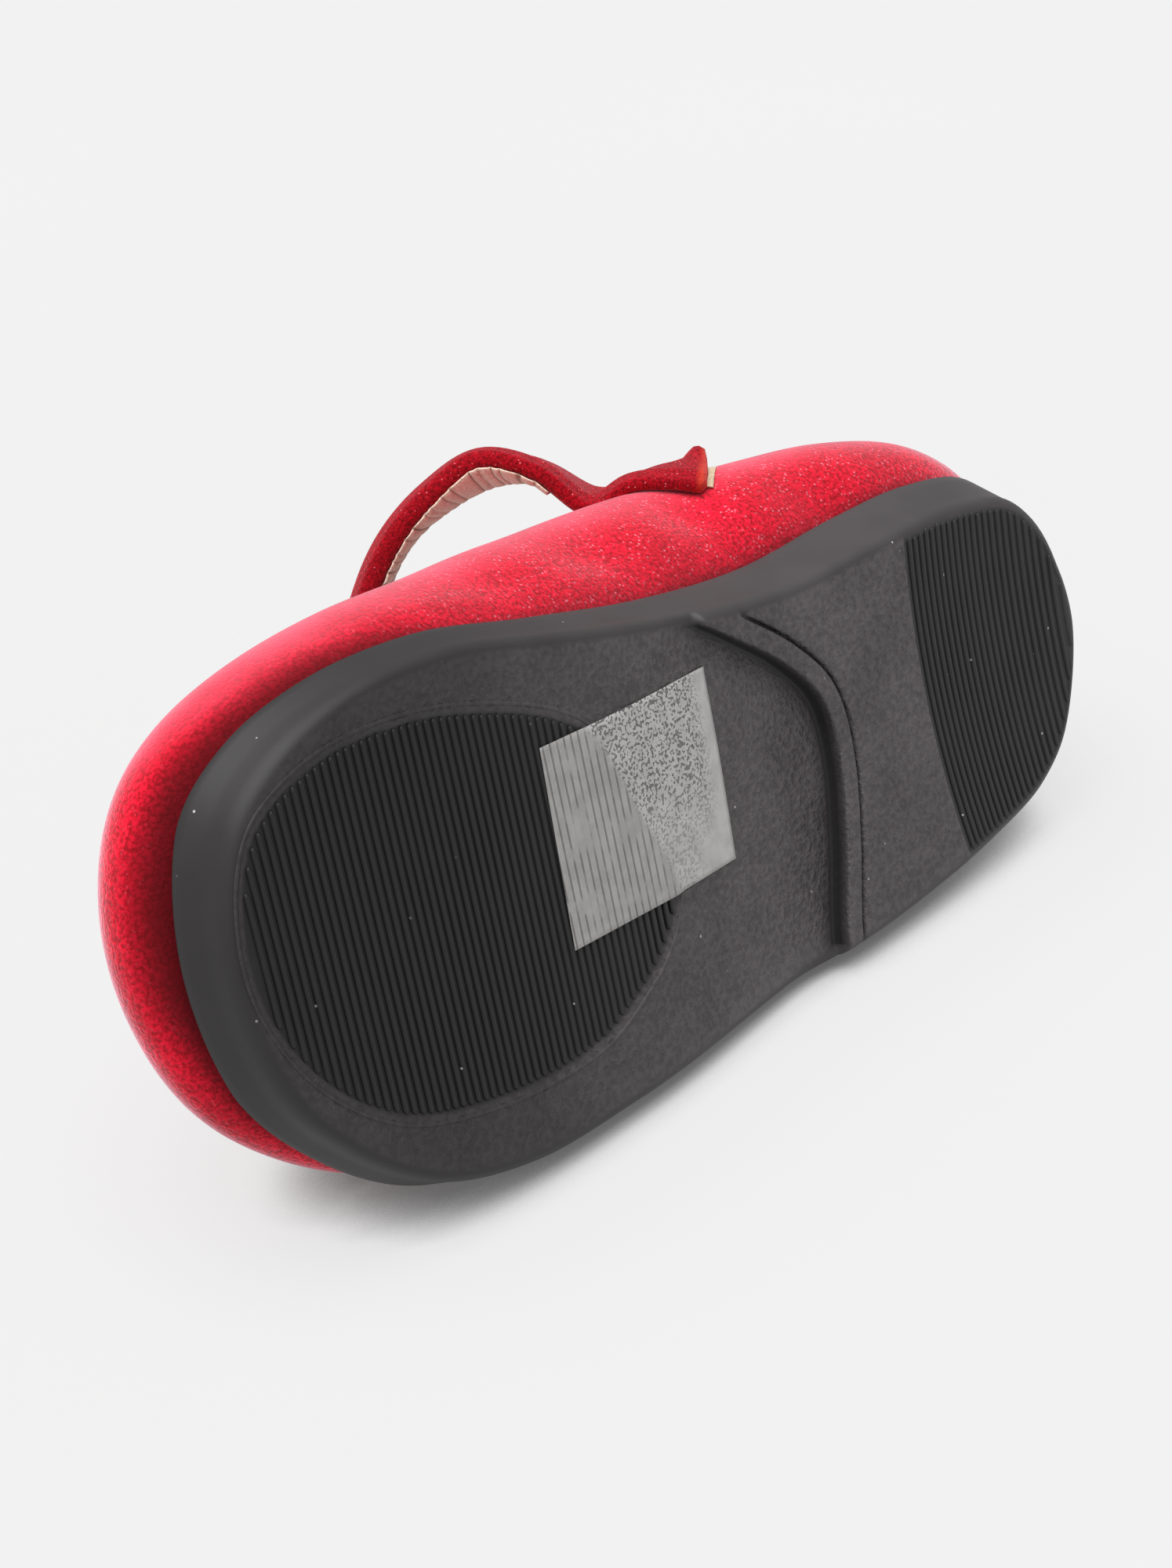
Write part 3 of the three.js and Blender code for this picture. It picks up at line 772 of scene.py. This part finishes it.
def rib(bm, centres, middle_rows):
    """A bar on the recess floor along centres, an array of along and side."""
    line = Line(centres)
    run = line.length
    stops = np.concatenate([
        RIB_STOPS, np.linspace(RIB_END, run - RIB_END, middle_rows + 2)[1:-1], run - np.array(RIB_STOPS[::-1])
    ])

    def place(u, v):
        stop = stops[round(v * (len(stops) - 1))]
        near_end = min(stop, run - stop, RIB_END) / RIB_END
        full = math.sqrt(near_end * (2 - near_end))
        spot = line.at(stop / run)
        ahead = line.along(stop / run)
        turn = 2 * math.pi * u
        across = math.copysign(abs(math.cos(turn)) ** 0.8, math.cos(turn)) * RIB_HALF * full
        crest = (max(math.sin(turn), -0.2) + 0.2) / 1.2
        low = float(sole("ground", spot[0])) + RECESS + RIB_SINK
        rise = low - (RECESS + RIB_SINK) * crest * (0.45 + 0.55 * full)
        return spot[0] + ahead[1] * across, spot[1] - ahead[0] * across, rise

    bent_grid(bm, RIB_RING, len(stops) - 1, place)


bm = bmesh.new()
flat_along = np.linspace(70, 140, 700)
even_along = flat_along + BALL_CROWD * sole("ground", flat_along)
side = np.arange(-25, 26, 0.05)
for even in np.arange(BALL_FROM, even_along[-1], BALL_PITCH):
    along = np.interp(even, even_along, flat_along) + BALL_LEAN * side
    inside = inside_oval(along, side)
    kept = inside > RIB_INSET
    if inside.max() > RIB_LEAST:
        rib(bm, np.stack([along[kept], side[kept]], axis=-1)[[0, kept.sum() // 2, -1]], BALL_ROWS)
for k in range(HEEL_COUNT):
    behind = HEEL_FIRST + HEEL_PITCH * k + HEEL_SPREAD * (k / HEEL_SPREAD_AT) ** HEEL_SPREAD_POWER
    along = heel_arc(side) - behind
    kept = inside_border(along, side) > -HEEL_OVERRUN
    if kept.sum() > HEEL_LEAST:
        rib(bm, np.stack([along[kept], side[kept]], axis=-1)[::HEEL_SKIP], HEEL_ROWS)
print("rib faces", len(bm.faces))

# %% Lip round the oval
LIP_OUT = 0.8
LIP_HALF = 0.24
LIP_HIGH = 0.11
LIP_RING = 8
LIP_ROWS = 320


def lip_place(u, v):
    """A thin raised line round the oval, just outside it."""
    ahead = oval.along(v)
    out = np.array([ahead[1], -ahead[0]])
    spot = oval.at(v) + out * LIP_OUT * (-1 if inside_oval(*(oval.at(v) + out)) > 0 else 1)
    turn = 2 * math.pi * u
    spot = spot + out * LIP_HALF * math.cos(turn)
    low = float(sole("ground", spot[0]) + recess(*spot) + arch_depth(*spot))
    return *spot, low + LIP_HIGH * (0.3 - 1.3 * max(math.sin(turn), -0.3))


bent_grid(bm, LIP_RING, LIP_ROWS, lip_place)
bmesh.ops.remove_doubles(bm, verts=bm.verts, dist=WELD)
bmesh.ops.recalc_face_normals(bm, faces=bm.faces)
tread = bm.verts.layers.float.new("tread")
painted_shade = bm.verts.layers.float.new("painted_shade")
# Painted shade on the ribs: darker towards the toe, and darker over the rib field.
for vert in bm.verts:
    vert[painted_shade] = toe_shade(vert.co.x)
    vert[tread] = float(smoothstep(-0.4, 0.2, inside_oval(vert.co.x, vert.co.y)) if vert.co.x > 60 else 1)
piece(bm, "sole_ribs", [rubber])

# %% [markdown]
# ## Upper
# The upper is padded velvet stretched over a last, one wall from the feather line at the sole to the
# collar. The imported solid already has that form, so a copy of it is welded, turned back into quads and
# smoothed. Soft hollows are then pressed in where the padding has given way. The lining is the same wall's
# inner skin.

# %% Upper form
def solid_copy(node):
    """The node's mesh in the shoe's frame, welded and in quads."""
    bm = bmesh.new()
    bm.from_mesh(frame["nodes"][node].data)
    bm.transform(SHOE.inverted())
    bmesh.ops.remove_doubles(bm, verts=bm.verts, dist=0.01)
    bmesh.ops.join_triangles(
        bm, faces=bm.faces, angle_face_threshold=math.radians(60), angle_shape_threshold=math.radians(80)
    )
    return bm


def smoothed(bm, levels):
    """The bmesh after a subdivision surface, as a new bmesh."""
    mesh = bpy.data.meshes.new("rough")
    bm.to_mesh(mesh)
    bm.free()
    rough = bpy.data.objects.new("rough", mesh)
    scene.collection.objects.link(rough)
    rounding = rough.modifiers.new("round", "SUBSURF")
    rounding.levels = levels
    rounding.render_levels = levels
    result = bmesh.new()
    result.from_object(rough, bpy.context.evaluated_depsgraph_get())
    bpy.data.objects.remove(rough)
    bpy.data.meshes.remove(mesh)
    return result


upper_solid = solid_copy("upper")
WALLS = BVHTree.FromBMesh(upper_solid)
upper = smoothed(upper_solid, 2)
SPINE = [(14, 2, 24), (30, 2, 22.5), (60, 3, 21), (95, 3, 18), (118, 4, 14)]
LOOKS_IN = -1.5
spine = Line(curve_through(SPINE)).points
bmesh.ops.recalc_face_normals(upper, faces=upper.faces)
upper.normal_update()
inside_count = 0
for face in upper.faces:
    middle = np.array(face.calc_center_median())
    nearest = spine[np.argmin(np.abs(spine[:, 0] - middle[0]))]
    if face.normal.dot(Vector(middle - nearest)) < LOOKS_IN:
        face.material_index = 1
        inside_count += 1
print("upper faces", len(upper.faces), "lining", inside_count)

# %% [markdown]
# ### Feather crease and soft hollows
# Where velvet and sole meet, the cloth is drawn in under the sole's rim and leaves a crease. The padding has
# also given way in a few places on the inner wall. Both are moves of the vertices, faded out smoothly. Three
# values go with each vertex for the velvet's finish: a painted shade that darkens the crease and the wall low
# down by the sole, a painted highlight where the surface faces up towards the lamp, and how strongly the
# painted glints show.

# %% Crease and hollows
CREASE_DEEP = 2.4
CREASE_LINING = 1.3
CREASE_HIGH = 5.0
UNDER_INNER = 3.2
UNDER_TOE = 6.5
UNDER_OUTER = 3.6
UNDER_TOE_RUN = (92, 122)
UNDER_OUTER_RUN = (8, -12)
WIDE_LOW_SHADE_RUN = (11.0, 1.5)
WIDE_LOW_SHADE_SHARE = 0.3
TOP_LIGHT_RUN = (0.62, 1.0)
GLINT_RUN = (118, 84)
TOP_LIGHT_FACE = Vector((0, 0.6, 0.8))
HOLLOWS = [
    {"at": (70, 28, 13.0), "reach": (7, 6, 3.4), "deep": 1.3},
    {"at": (52, 28, 15.0), "reach": (5, 6, 4.0), "deep": 1.2},
    {"at": (87, 29, 11.5), "reach": (8, 6, 2.8), "deep": 0.8},
    {"at": (35, 26, 11.5), "reach": (6, 6, 3.4), "deep": 1.0},
]
painted_sole_shade = upper.verts.layers.float.new("painted_sole_shade")
painted_top_light = upper.verts.layers.float.new("painted_top_light")
painted_glint = upper.verts.layers.float.new("painted_glint")
moves = {}
for vert in upper.verts:
    along, side, rise = vert.co
    above = rise - float(sole("rim", along))
    move = Vector((0, 0, 0))
    if above < CREASE_HIGH:
        if ALONG[0] < along < ALONG[-1]:
            share = bottom_at(along, side > 0)
        else:
            near = np.argmin(np.hypot(*(RIM.points - np.array([along, side])).T))
            share = RIM.share[near]
        away = Vector((*outward(float(share)), 0))
        deep = CREASE_DEEP if vert.normal.dot(away) > -0.2 else CREASE_LINING
        low = 1 - max(above, 0) / CREASE_HIGH
        move -= away * deep * low**2
    for hollow in HOLLOWS:
        away = sum(((c - m) / r) ** 2 for c, m, r in zip(vert.co, hollow["at"], hollow["reach"]))
        move.y -= hollow["deep"] * math.exp(-away)
    # Painted shade: the velvet is darker in a band next to the sole, widest at the toe, and a little darker
    # low on the wall.
    turned_under = UNDER_INNER + (UNDER_TOE - UNDER_INNER) * float(smoothstep(*UNDER_TOE_RUN, along))
    turned_under += (UNDER_OUTER - turned_under) * float(smoothstep(*UNDER_OUTER_RUN, side))
    wide_low_shade = WIDE_LOW_SHADE_SHARE * float(smoothstep(*WIDE_LOW_SHADE_RUN, above))
    vert[painted_sole_shade] = max(float(smoothstep(turned_under, turned_under * 0.25, above)), wide_low_shade)
    # Painted highlight where the surface faces up towards the lamp.
    vert[painted_top_light] = float(smoothstep(*TOP_LIGHT_RUN, (AXES @ vert.normal).normalized().dot(TOP_LIGHT_FACE)))
    vert[painted_glint] = float(smoothstep(*GLINT_RUN, along))
    moves[vert] = move
for vert, move in moves.items():
    vert.co += move
print("deepest move", round(max(m.length for m in moves.values()), 2), "mm")

# %% [markdown]
# ### Velvet
# Velvet is a dense short pile. Seen along the pile it is deep and dark; at a grazing angle the tips catch
# the light and it goes pale and pinkish, which is what Principled sheen does. A fine mottle breaks the
# colour into tufts, and wide soft patches show where the pile has been brushed different ways.

# %% Velvet and lining finishes
velvet, at = finish(
    "red_velvet", Roughness=0.85, Specular_IOR_Level=0.1, Sheen_Weight=0.85, Sheen_Roughness=0.35,
    Sheen_Tint=(1.0, 0.78, 0.9, 1.0),
)
tuft = at.noise(0.45, 2.0, 0.6)
brushed = at.noise(9, 2.0).ramp(0.35, 0.7)
# Painted glints: small pale pink specks where pile tufts catch the light, stronger away from the toe.
painted_sparkle = at.cells(0.6).ramp(0.34, 0.1) * at.noise(1.5).ramp(0.42, 0.6)
pile = tuft.ramp(0.32, 0.66).between(colour(160, 3, 21), colour(248, 18, 53))
# Painted highlight: pale pink on the faces turned up to the lamp.
pile = (painted(at, "painted_top_light") * 0.42).between(pile, colour(255, 104, 128))
pile = (brushed * 0.4).between(pile, colour(158, 4, 22))
pile = (painted_sparkle * (0.1 + 0.5 * painted(at, "painted_glint"))).between(pile, colour(255, 150, 170))
# Painted shade next to the sole, near black red.
pile = (painted(at, "painted_sole_shade") * 0.93).between(pile, colour(74, 1, 6))
feed(velvet, Base_Color=pile, Normal=tuft.bump(0.2, 0.6))

cotton, at = finish("pale_lining", Roughness=0.92, Sheen_Weight=0.15)
thread = at.noise(0.3, 2.0, 0.6)
feed(
    cotton,
    Base_Color=thread.ramp(0.3, 0.7).between(colour(186, 160, 146), colour(216, 196, 182)),
    Normal=thread.bump(0.15, 0.6),
)
piece(upper, "velvet_upper", [velvet, cotton], ["upper"])

# %% [markdown]
# ## Insole
# The sock board closes the bottom of the upper. Only the inside view shows it, as cloth glued over a thin
# foam.

# %% Sock board
board = smoothed(solid_copy("insole"), 2)
piece(board, "sock_board", [cotton], ["insole"])

# %% [markdown]
# ## Strap
# The strap is a narrow velvet band that stands up slack over the throat, with its free end laid on the
# inner wall. It is a grid rolled into a flat tube along lengthwise lines that follow the wall at both ends.

# %% Strap route
STRAP_WIDTH = 10.5
STRAP_THICK = 2.6
STRAP_LEAN = 0.75
STRAP_FOOT = 30
ON_WALL = [19, 22.5, 26]
FREE = [
    (29.2, 30.0), (34.7, 34.4), (37.6, 39.9), (34.0, 45.6), (28.7, 50.1), (21.8, 53.6),
    (9, 57.6), (-3.5, 54), (-9.8, 47), (-11.8, 39.5),
]
FREE_TWIST = [2, 12, 24, 13, 2, -3, -6, -6, -4, 0]
IN_WALL = [31, 27, 23]
OVER_PAD = 0.9
END_SINK = 0.03
INSIDE_GAP = 2.0
WIDE = np.array([-1, 0, STRAP_LEAN]) / math.hypot(1, STRAP_LEAN)


def wall_spot(rise, across, inner, out):
    """A place at a distance out from the wall, under the strap's line at this rise."""
    along, _, height = np.array([STRAP_FOOT + STRAP_LEAN * rise, 0, rise]) + WIDE * across
    start = Vector((along, 60 if inner else 0, height))
    spot, normal, _, _ = WALLS.ray_cast(start, Vector((0, -1, 0)))
    return np.array(spot + normal * out)


free_spots = np.array([(STRAP_FOOT + STRAP_LEAN * rise, side, rise) for side, rise in FREE])
free_travel = np.gradient(free_spots, axis=0)
free_out = np.cross(WIDE, free_travel)
free_out /= np.linalg.norm(free_out, axis=1, keepdims=True)
free_turn = np.radians(FREE_TWIST)[:, None]
free_wide = WIDE * np.cos(free_turn) - free_out * np.sin(free_turn)


def strap_line(across):
    """A lengthwise line of the strap: on the wall, free over the throat, and down inside the outer wall."""
    from_near = across + STRAP_WIDTH / 2
    on = [wall_spot(rise, across, True, OVER_PAD - END_SINK * from_near) for rise in ON_WALL]
    near = free_spots - WIDE * STRAP_WIDTH / 2
    free = list(near + free_wide * from_near)
    inside = [wall_spot(rise, across, False, INSIDE_GAP) for rise in IN_WALL]
    return curve_through(on + free + inside, steps=20)


STRAP_COLUMNS = np.linspace(-0.5, 0.5, 9)
strap_lines = np.array([strap_line(c * STRAP_WIDTH) for c in STRAP_COLUMNS])
STRAP = Line(strap_lines[4])
print("strap length", round(STRAP.length, 1), "mm")


def strap_spot(across, share):
    """Place, face direction and travel on the strap's middle sheet."""
    n = strap_lines.shape[1] - 1
    step = np.interp(share, STRAP.share, np.arange(n + 1))

    def place(a, s):
        k = min(int(s), n - 1)
        rows = strap_lines[:, k] + (strap_lines[:, k + 1] - strap_lines[:, k]) * (s - k)
        return np.array([np.interp(a, STRAP_COLUMNS, rows[:, axis]) for axis in range(3)])

    here = place(across, step)
    ahead = place(across, min(step + 0.7, n)) - place(across, max(step - 0.7, 0))
    ahead /= np.linalg.norm(ahead)
    wide = place(min(across + 0.1, 0.5), step) - place(max(across - 0.1, -0.5), step)
    face = np.cross(wide, ahead)
    return here, face / np.linalg.norm(face), ahead


# %% Strap band
STRAP_RING = 36
STRAP_ROWS = 170
STRAP_OUT = 1.3
END_RUN = 3.2
END_LIFT = 1.5
END_ROUND = 0.9
RIDGE_DEEP = 0.2
RIDGES = 3.5
BAND_SHARE = 0.92
THICK_AT = [0, 0.1, 0.2, 0.3, 0.75, 1]
THICK = [2.6, 2.6, 2.8, 3.4, 3.4, STRAP_THICK]


def band_ring(u):
    """Across share and thickness share of the band's rolled outline, by turn."""
    turn = 2 * math.pi * u
    c = math.cos(turn)
    s = math.sin(turn)
    across = 0.5 * math.copysign(abs(c) ** 0.45, c)
    thick = math.copysign(abs(s) ** 0.75, s)
    return across, thick


def strap_thick(share):
    return float(column(THICK_AT, THICK, share))


def band_place(u, v):
    """The free end's far corner turns up, and the face keeps the knit's lengthwise ridges."""
    across, thick = band_ring(u)
    run = v * STRAP.length
    cut = max(1 - run / END_ROUND, 0)
    full = 0.7 + 0.3 * math.sqrt(1 - cut**2)
    here, face, _ = strap_spot(across * BAND_SHARE * full, v)
    lift = END_LIFT * float(smoothstep(END_RUN, 1.3, run) * smoothstep(0.0, 0.42, across))
    ridge = RIDGE_DEEP * math.cos(2 * math.pi * across * RIDGES) * max(thick, 0)
    half = strap_thick(v) / 2
    return here + face * (STRAP_OUT - half + thick * half * full + lift + ridge)


bm = bmesh.new()
raw = bm.verts.layers.float.new("raw")
end_spot, _, end_ahead = strap_spot(0, 0)
for vert in bent_grid(bm, STRAP_RING, STRAP_ROWS, band_place):
    from_end = (Vector(end_spot) - vert.co).dot(Vector(end_ahead))
    vert[raw] = float(smoothstep(0.9, 0.2, abs(from_end)))
bmesh.ops.remove_doubles(bm, verts=bm.verts, dist=WELD)
bmesh.ops.holes_fill(bm, edges=[edge for edge in bm.edges if edge.is_boundary])
bmesh.ops.recalc_face_normals(bm, faces=bm.faces)
strap_mesh = bm
print("strap band", len(bm.faces), "faces")

# %% Strap velvet
strap_velvet, at = finish(
    "strap_velvet", Roughness=0.9, Specular_IOR_Level=0.1, Sheen_Weight=0.35, Sheen_Roughness=0.4,
    Sheen_Tint=(1.0, 0.4, 0.45, 1.0),
)
knit = at.noise(0.32, 3.0, 0.65)
# Painted highlights: pale pink flecks where the pile catches the light.
painted_fleck = at.cells(0.6).ramp(0.24, 0.1) * at.noise(1.1).ramp(0.5, 0.62)
band_red = knit.ramp(0.3, 0.7).between(colour(98, 2, 10), colour(174, 10, 29))
band_red = (painted_fleck * 0.7).between(band_red, colour(250, 130, 140))
band_red = (painted(at, "raw") * 0.8).between(band_red, colour(206, 62, 40))
feed(strap_velvet, Base_Color=band_red, Normal=knit.bump(0.3, 0.7))
piece(strap_mesh, "strap_band", [strap_velvet], ["strap"])

# %% [markdown]
# ### Gathered lining
# The strap's underside is a pale cloth that has drawn up into short crosswise ruches. It is a thin grid
# under the band, pushed in and out along its length, with a wavy edge.

# %% Strap lining
RUCHE = 1.8
RUCHE_DEEP = 0.14
LINING_WIDE = 0.9
LINING_FROM = 0.16
LINING_RUN = 0.83
LINING_ROWS = 400
LINING_COLUMNS = 14
LINING_THICK = 0.2
EDGE_DROP = 0.5


def ruche(run):
    """Rounded gathers with narrow creases between them, 0 in a crease and 1 on a gather."""
    uneven = 0.9 * math.sin(run * 0.7) + 0.5 * math.sin(run * 1.7)
    return abs(math.sin(math.pi * run / RUCHE + uneven)) ** 0.6


def lining_place(u, v):
    run = (LINING_FROM + LINING_RUN * v) * STRAP.length
    edge = 1 + 0.008 * ruche(run) + 0.01 * math.sin(run * 1.1)
    here, face, _ = strap_spot((u - 0.5) * LINING_WIDE * edge, run / STRAP.length)
    under = strap_thick(run / STRAP.length) - STRAP_OUT
    rise = under + LINING_THICK + RUCHE_DEEP * ruche(run) - EDGE_DROP * (2 * abs(u - 0.5)) ** 4
    return here - face * rise


bm = bmesh.new()
gather = bm.verts.layers.float.new("gather")
for k, vert in enumerate(bent_grid(bm, LINING_COLUMNS, LINING_ROWS, lining_place)):
    share = (k // (LINING_COLUMNS + 1)) / LINING_ROWS
    vert[gather] = ruche((LINING_FROM + LINING_RUN * share) * STRAP.length)
bmesh.ops.recalc_face_normals(bm, faces=bm.faces)
bmesh.ops.solidify(bm, geom=bm.faces[:], thickness=LINING_THICK)
ruched, at = finish("gathered_lining", Roughness=0.9, Sheen_Weight=0.15)
thread = at.noise(0.3, 3.0, 0.6)
gathers_and_shade = painted(at, "gather")
cloth_tone = thread.ramp(0.3, 0.7).between(colour(186, 160, 142), colour(226, 206, 188))
# The gather height also drives the bump; the creases between the gathers are painted darker, a painted shade.
feed(
    ruched,
    Base_Color=gathers_and_shade.ramp(0.6, 0.2).between(cloth_tone, colour(140, 108, 92)),
    Normal=(thread * 0.4 + gathers_and_shade).bump(0.3, 0.8),
)
piece(bm, "strap_lining", [ruched])

# %% [markdown]
# ## Hook tape
# A patch of pale hook tape holds the free end to the wall. Only its edge shows past the strap's end.

# %% Hook tape patch
tape, at = finish("hook_tape", Roughness=0.8)
hooks = at.noise(0.4, 2.0)
hook_tone = hooks.ramp(0.3, 0.7).between(colour(206, 182, 150), colour(230, 210, 180))
feed(tape, Base_Color=hook_tone, Normal=hooks.bump(0.2, 0.6))
PATCH_NEAR = -2.6
PATCH_FAR = 4.4
PATCH_FROM = 18.4
PATCH_TO = 25.4
PATCH_OFF = 0.04
PATCH_THICK = 0.16


def patch_place(u, v):
    rise = PATCH_FROM + (PATCH_TO - PATCH_FROM) * v
    return wall_spot(rise, PATCH_NEAR + (PATCH_FAR - PATCH_NEAR) * u, True, PATCH_OFF + PATCH_THICK)


patch = bmesh.new()
bent_grid(patch, 16, 12, patch_place)
bmesh.ops.recalc_face_normals(patch, faces=patch.faces)
bmesh.ops.solidify(patch, geom=patch.faces[:], thickness=PATCH_THICK)
piece(patch, "hook_patch", [tape], ["fastening_pad"])

# %% [markdown]
# ## Clear film
# A plain oblong of frosted film is stuck under the arch, half over the first ribs. It is a thin sheet that
# lies on whatever is highest under it. Where it lies on ribs it is clearer, and on the flat it has come
# away in spots.

# %% Film
FILM_FROM = 68.5
FILM_TO = 96.3
FILM_LOW = -7.9
FILM_HIGH = 14.5
FILM_OFF = 0.15
FILM_THICK = 0.05
FILM_TURN = 0.02
FILM_MIDDLE = 82


def film_place(u, v):
    along = FILM_FROM + (FILM_TO - FILM_FROM) * v
    side = FILM_LOW + (FILM_HIGH - FILM_LOW) * u - FILM_TURN * (along - FILM_MIDDLE)
    over_ribs = float(smoothstep(-1.6, 0.6, inside_oval(along, side)))
    rise = float(sole("ground", along)) + float(arch_depth(along, side)) * (1 - over_ribs)
    return along, side, rise - FILM_OFF


bm = bmesh.new()
bent_grid(bm, 40, 56, film_place)
bmesh.ops.recalc_face_normals(bm, faces=bm.faces)
bmesh.ops.solidify(bm, geom=bm.faces[:], thickness=FILM_THICK)
cling = bm.verts.layers.float.new("cling")
spots = bm.verts.layers.float.new("spots")
rib_number = bm.verts.layers.float.new("rib_number")
for vert in bm.verts:
    along, side, _ = vert.co
    square_on = along - BALL_LEAN * side
    vert[rib_number] = (square_on + BALL_CROWD * float(sole("ground", square_on)) - BALL_FROM) / BALL_PITCH
    vert[cling] = float(smoothstep(-0.6, 0.4, inside_oval(along, side)))
    clean = smoothstep(72.4, 69.2, along) + smoothstep(1.0, -6.0, side) * smoothstep(77, 72, along)
    vert[spots] = float(max(1 - clean, 0) * (0.55 + 0.45 * smoothstep(-4, 6, side)))
film_mesh = bm
print("film", len(bm.faces), "faces")

# %% Film finish
frosted, at = finish("frosted_film", Roughness=0.42)
on_ribs = painted(at, "cling")
bare = (1 - on_ribs) * at.noise(0.36, 1.0, 0.4).ramp(0.52, 0.56) * painted(at, "spots")
ribs_passed = painted(at, "rib_number")
from_rib = ribs_passed.math("PINGPONG", ribs_passed, 0.5)
gaps = from_rib.ramp(0.3, 0.46) * on_ribs * at.noise(3.5).ramp(0.3, 0.5)
haze = at.noise(2.2, 3.0, 0.6).ramp(0.3, 0.7)
feed(
    frosted,
    Base_Color=haze.between(colour(176, 174, 172), colour(192, 190, 188)),
    Alpha=0.78 - 0.26 * on_ribs - 0.62 * bare - 0.34 * gaps,
)
film = piece(film_mesh, "clear_film", [frosted])
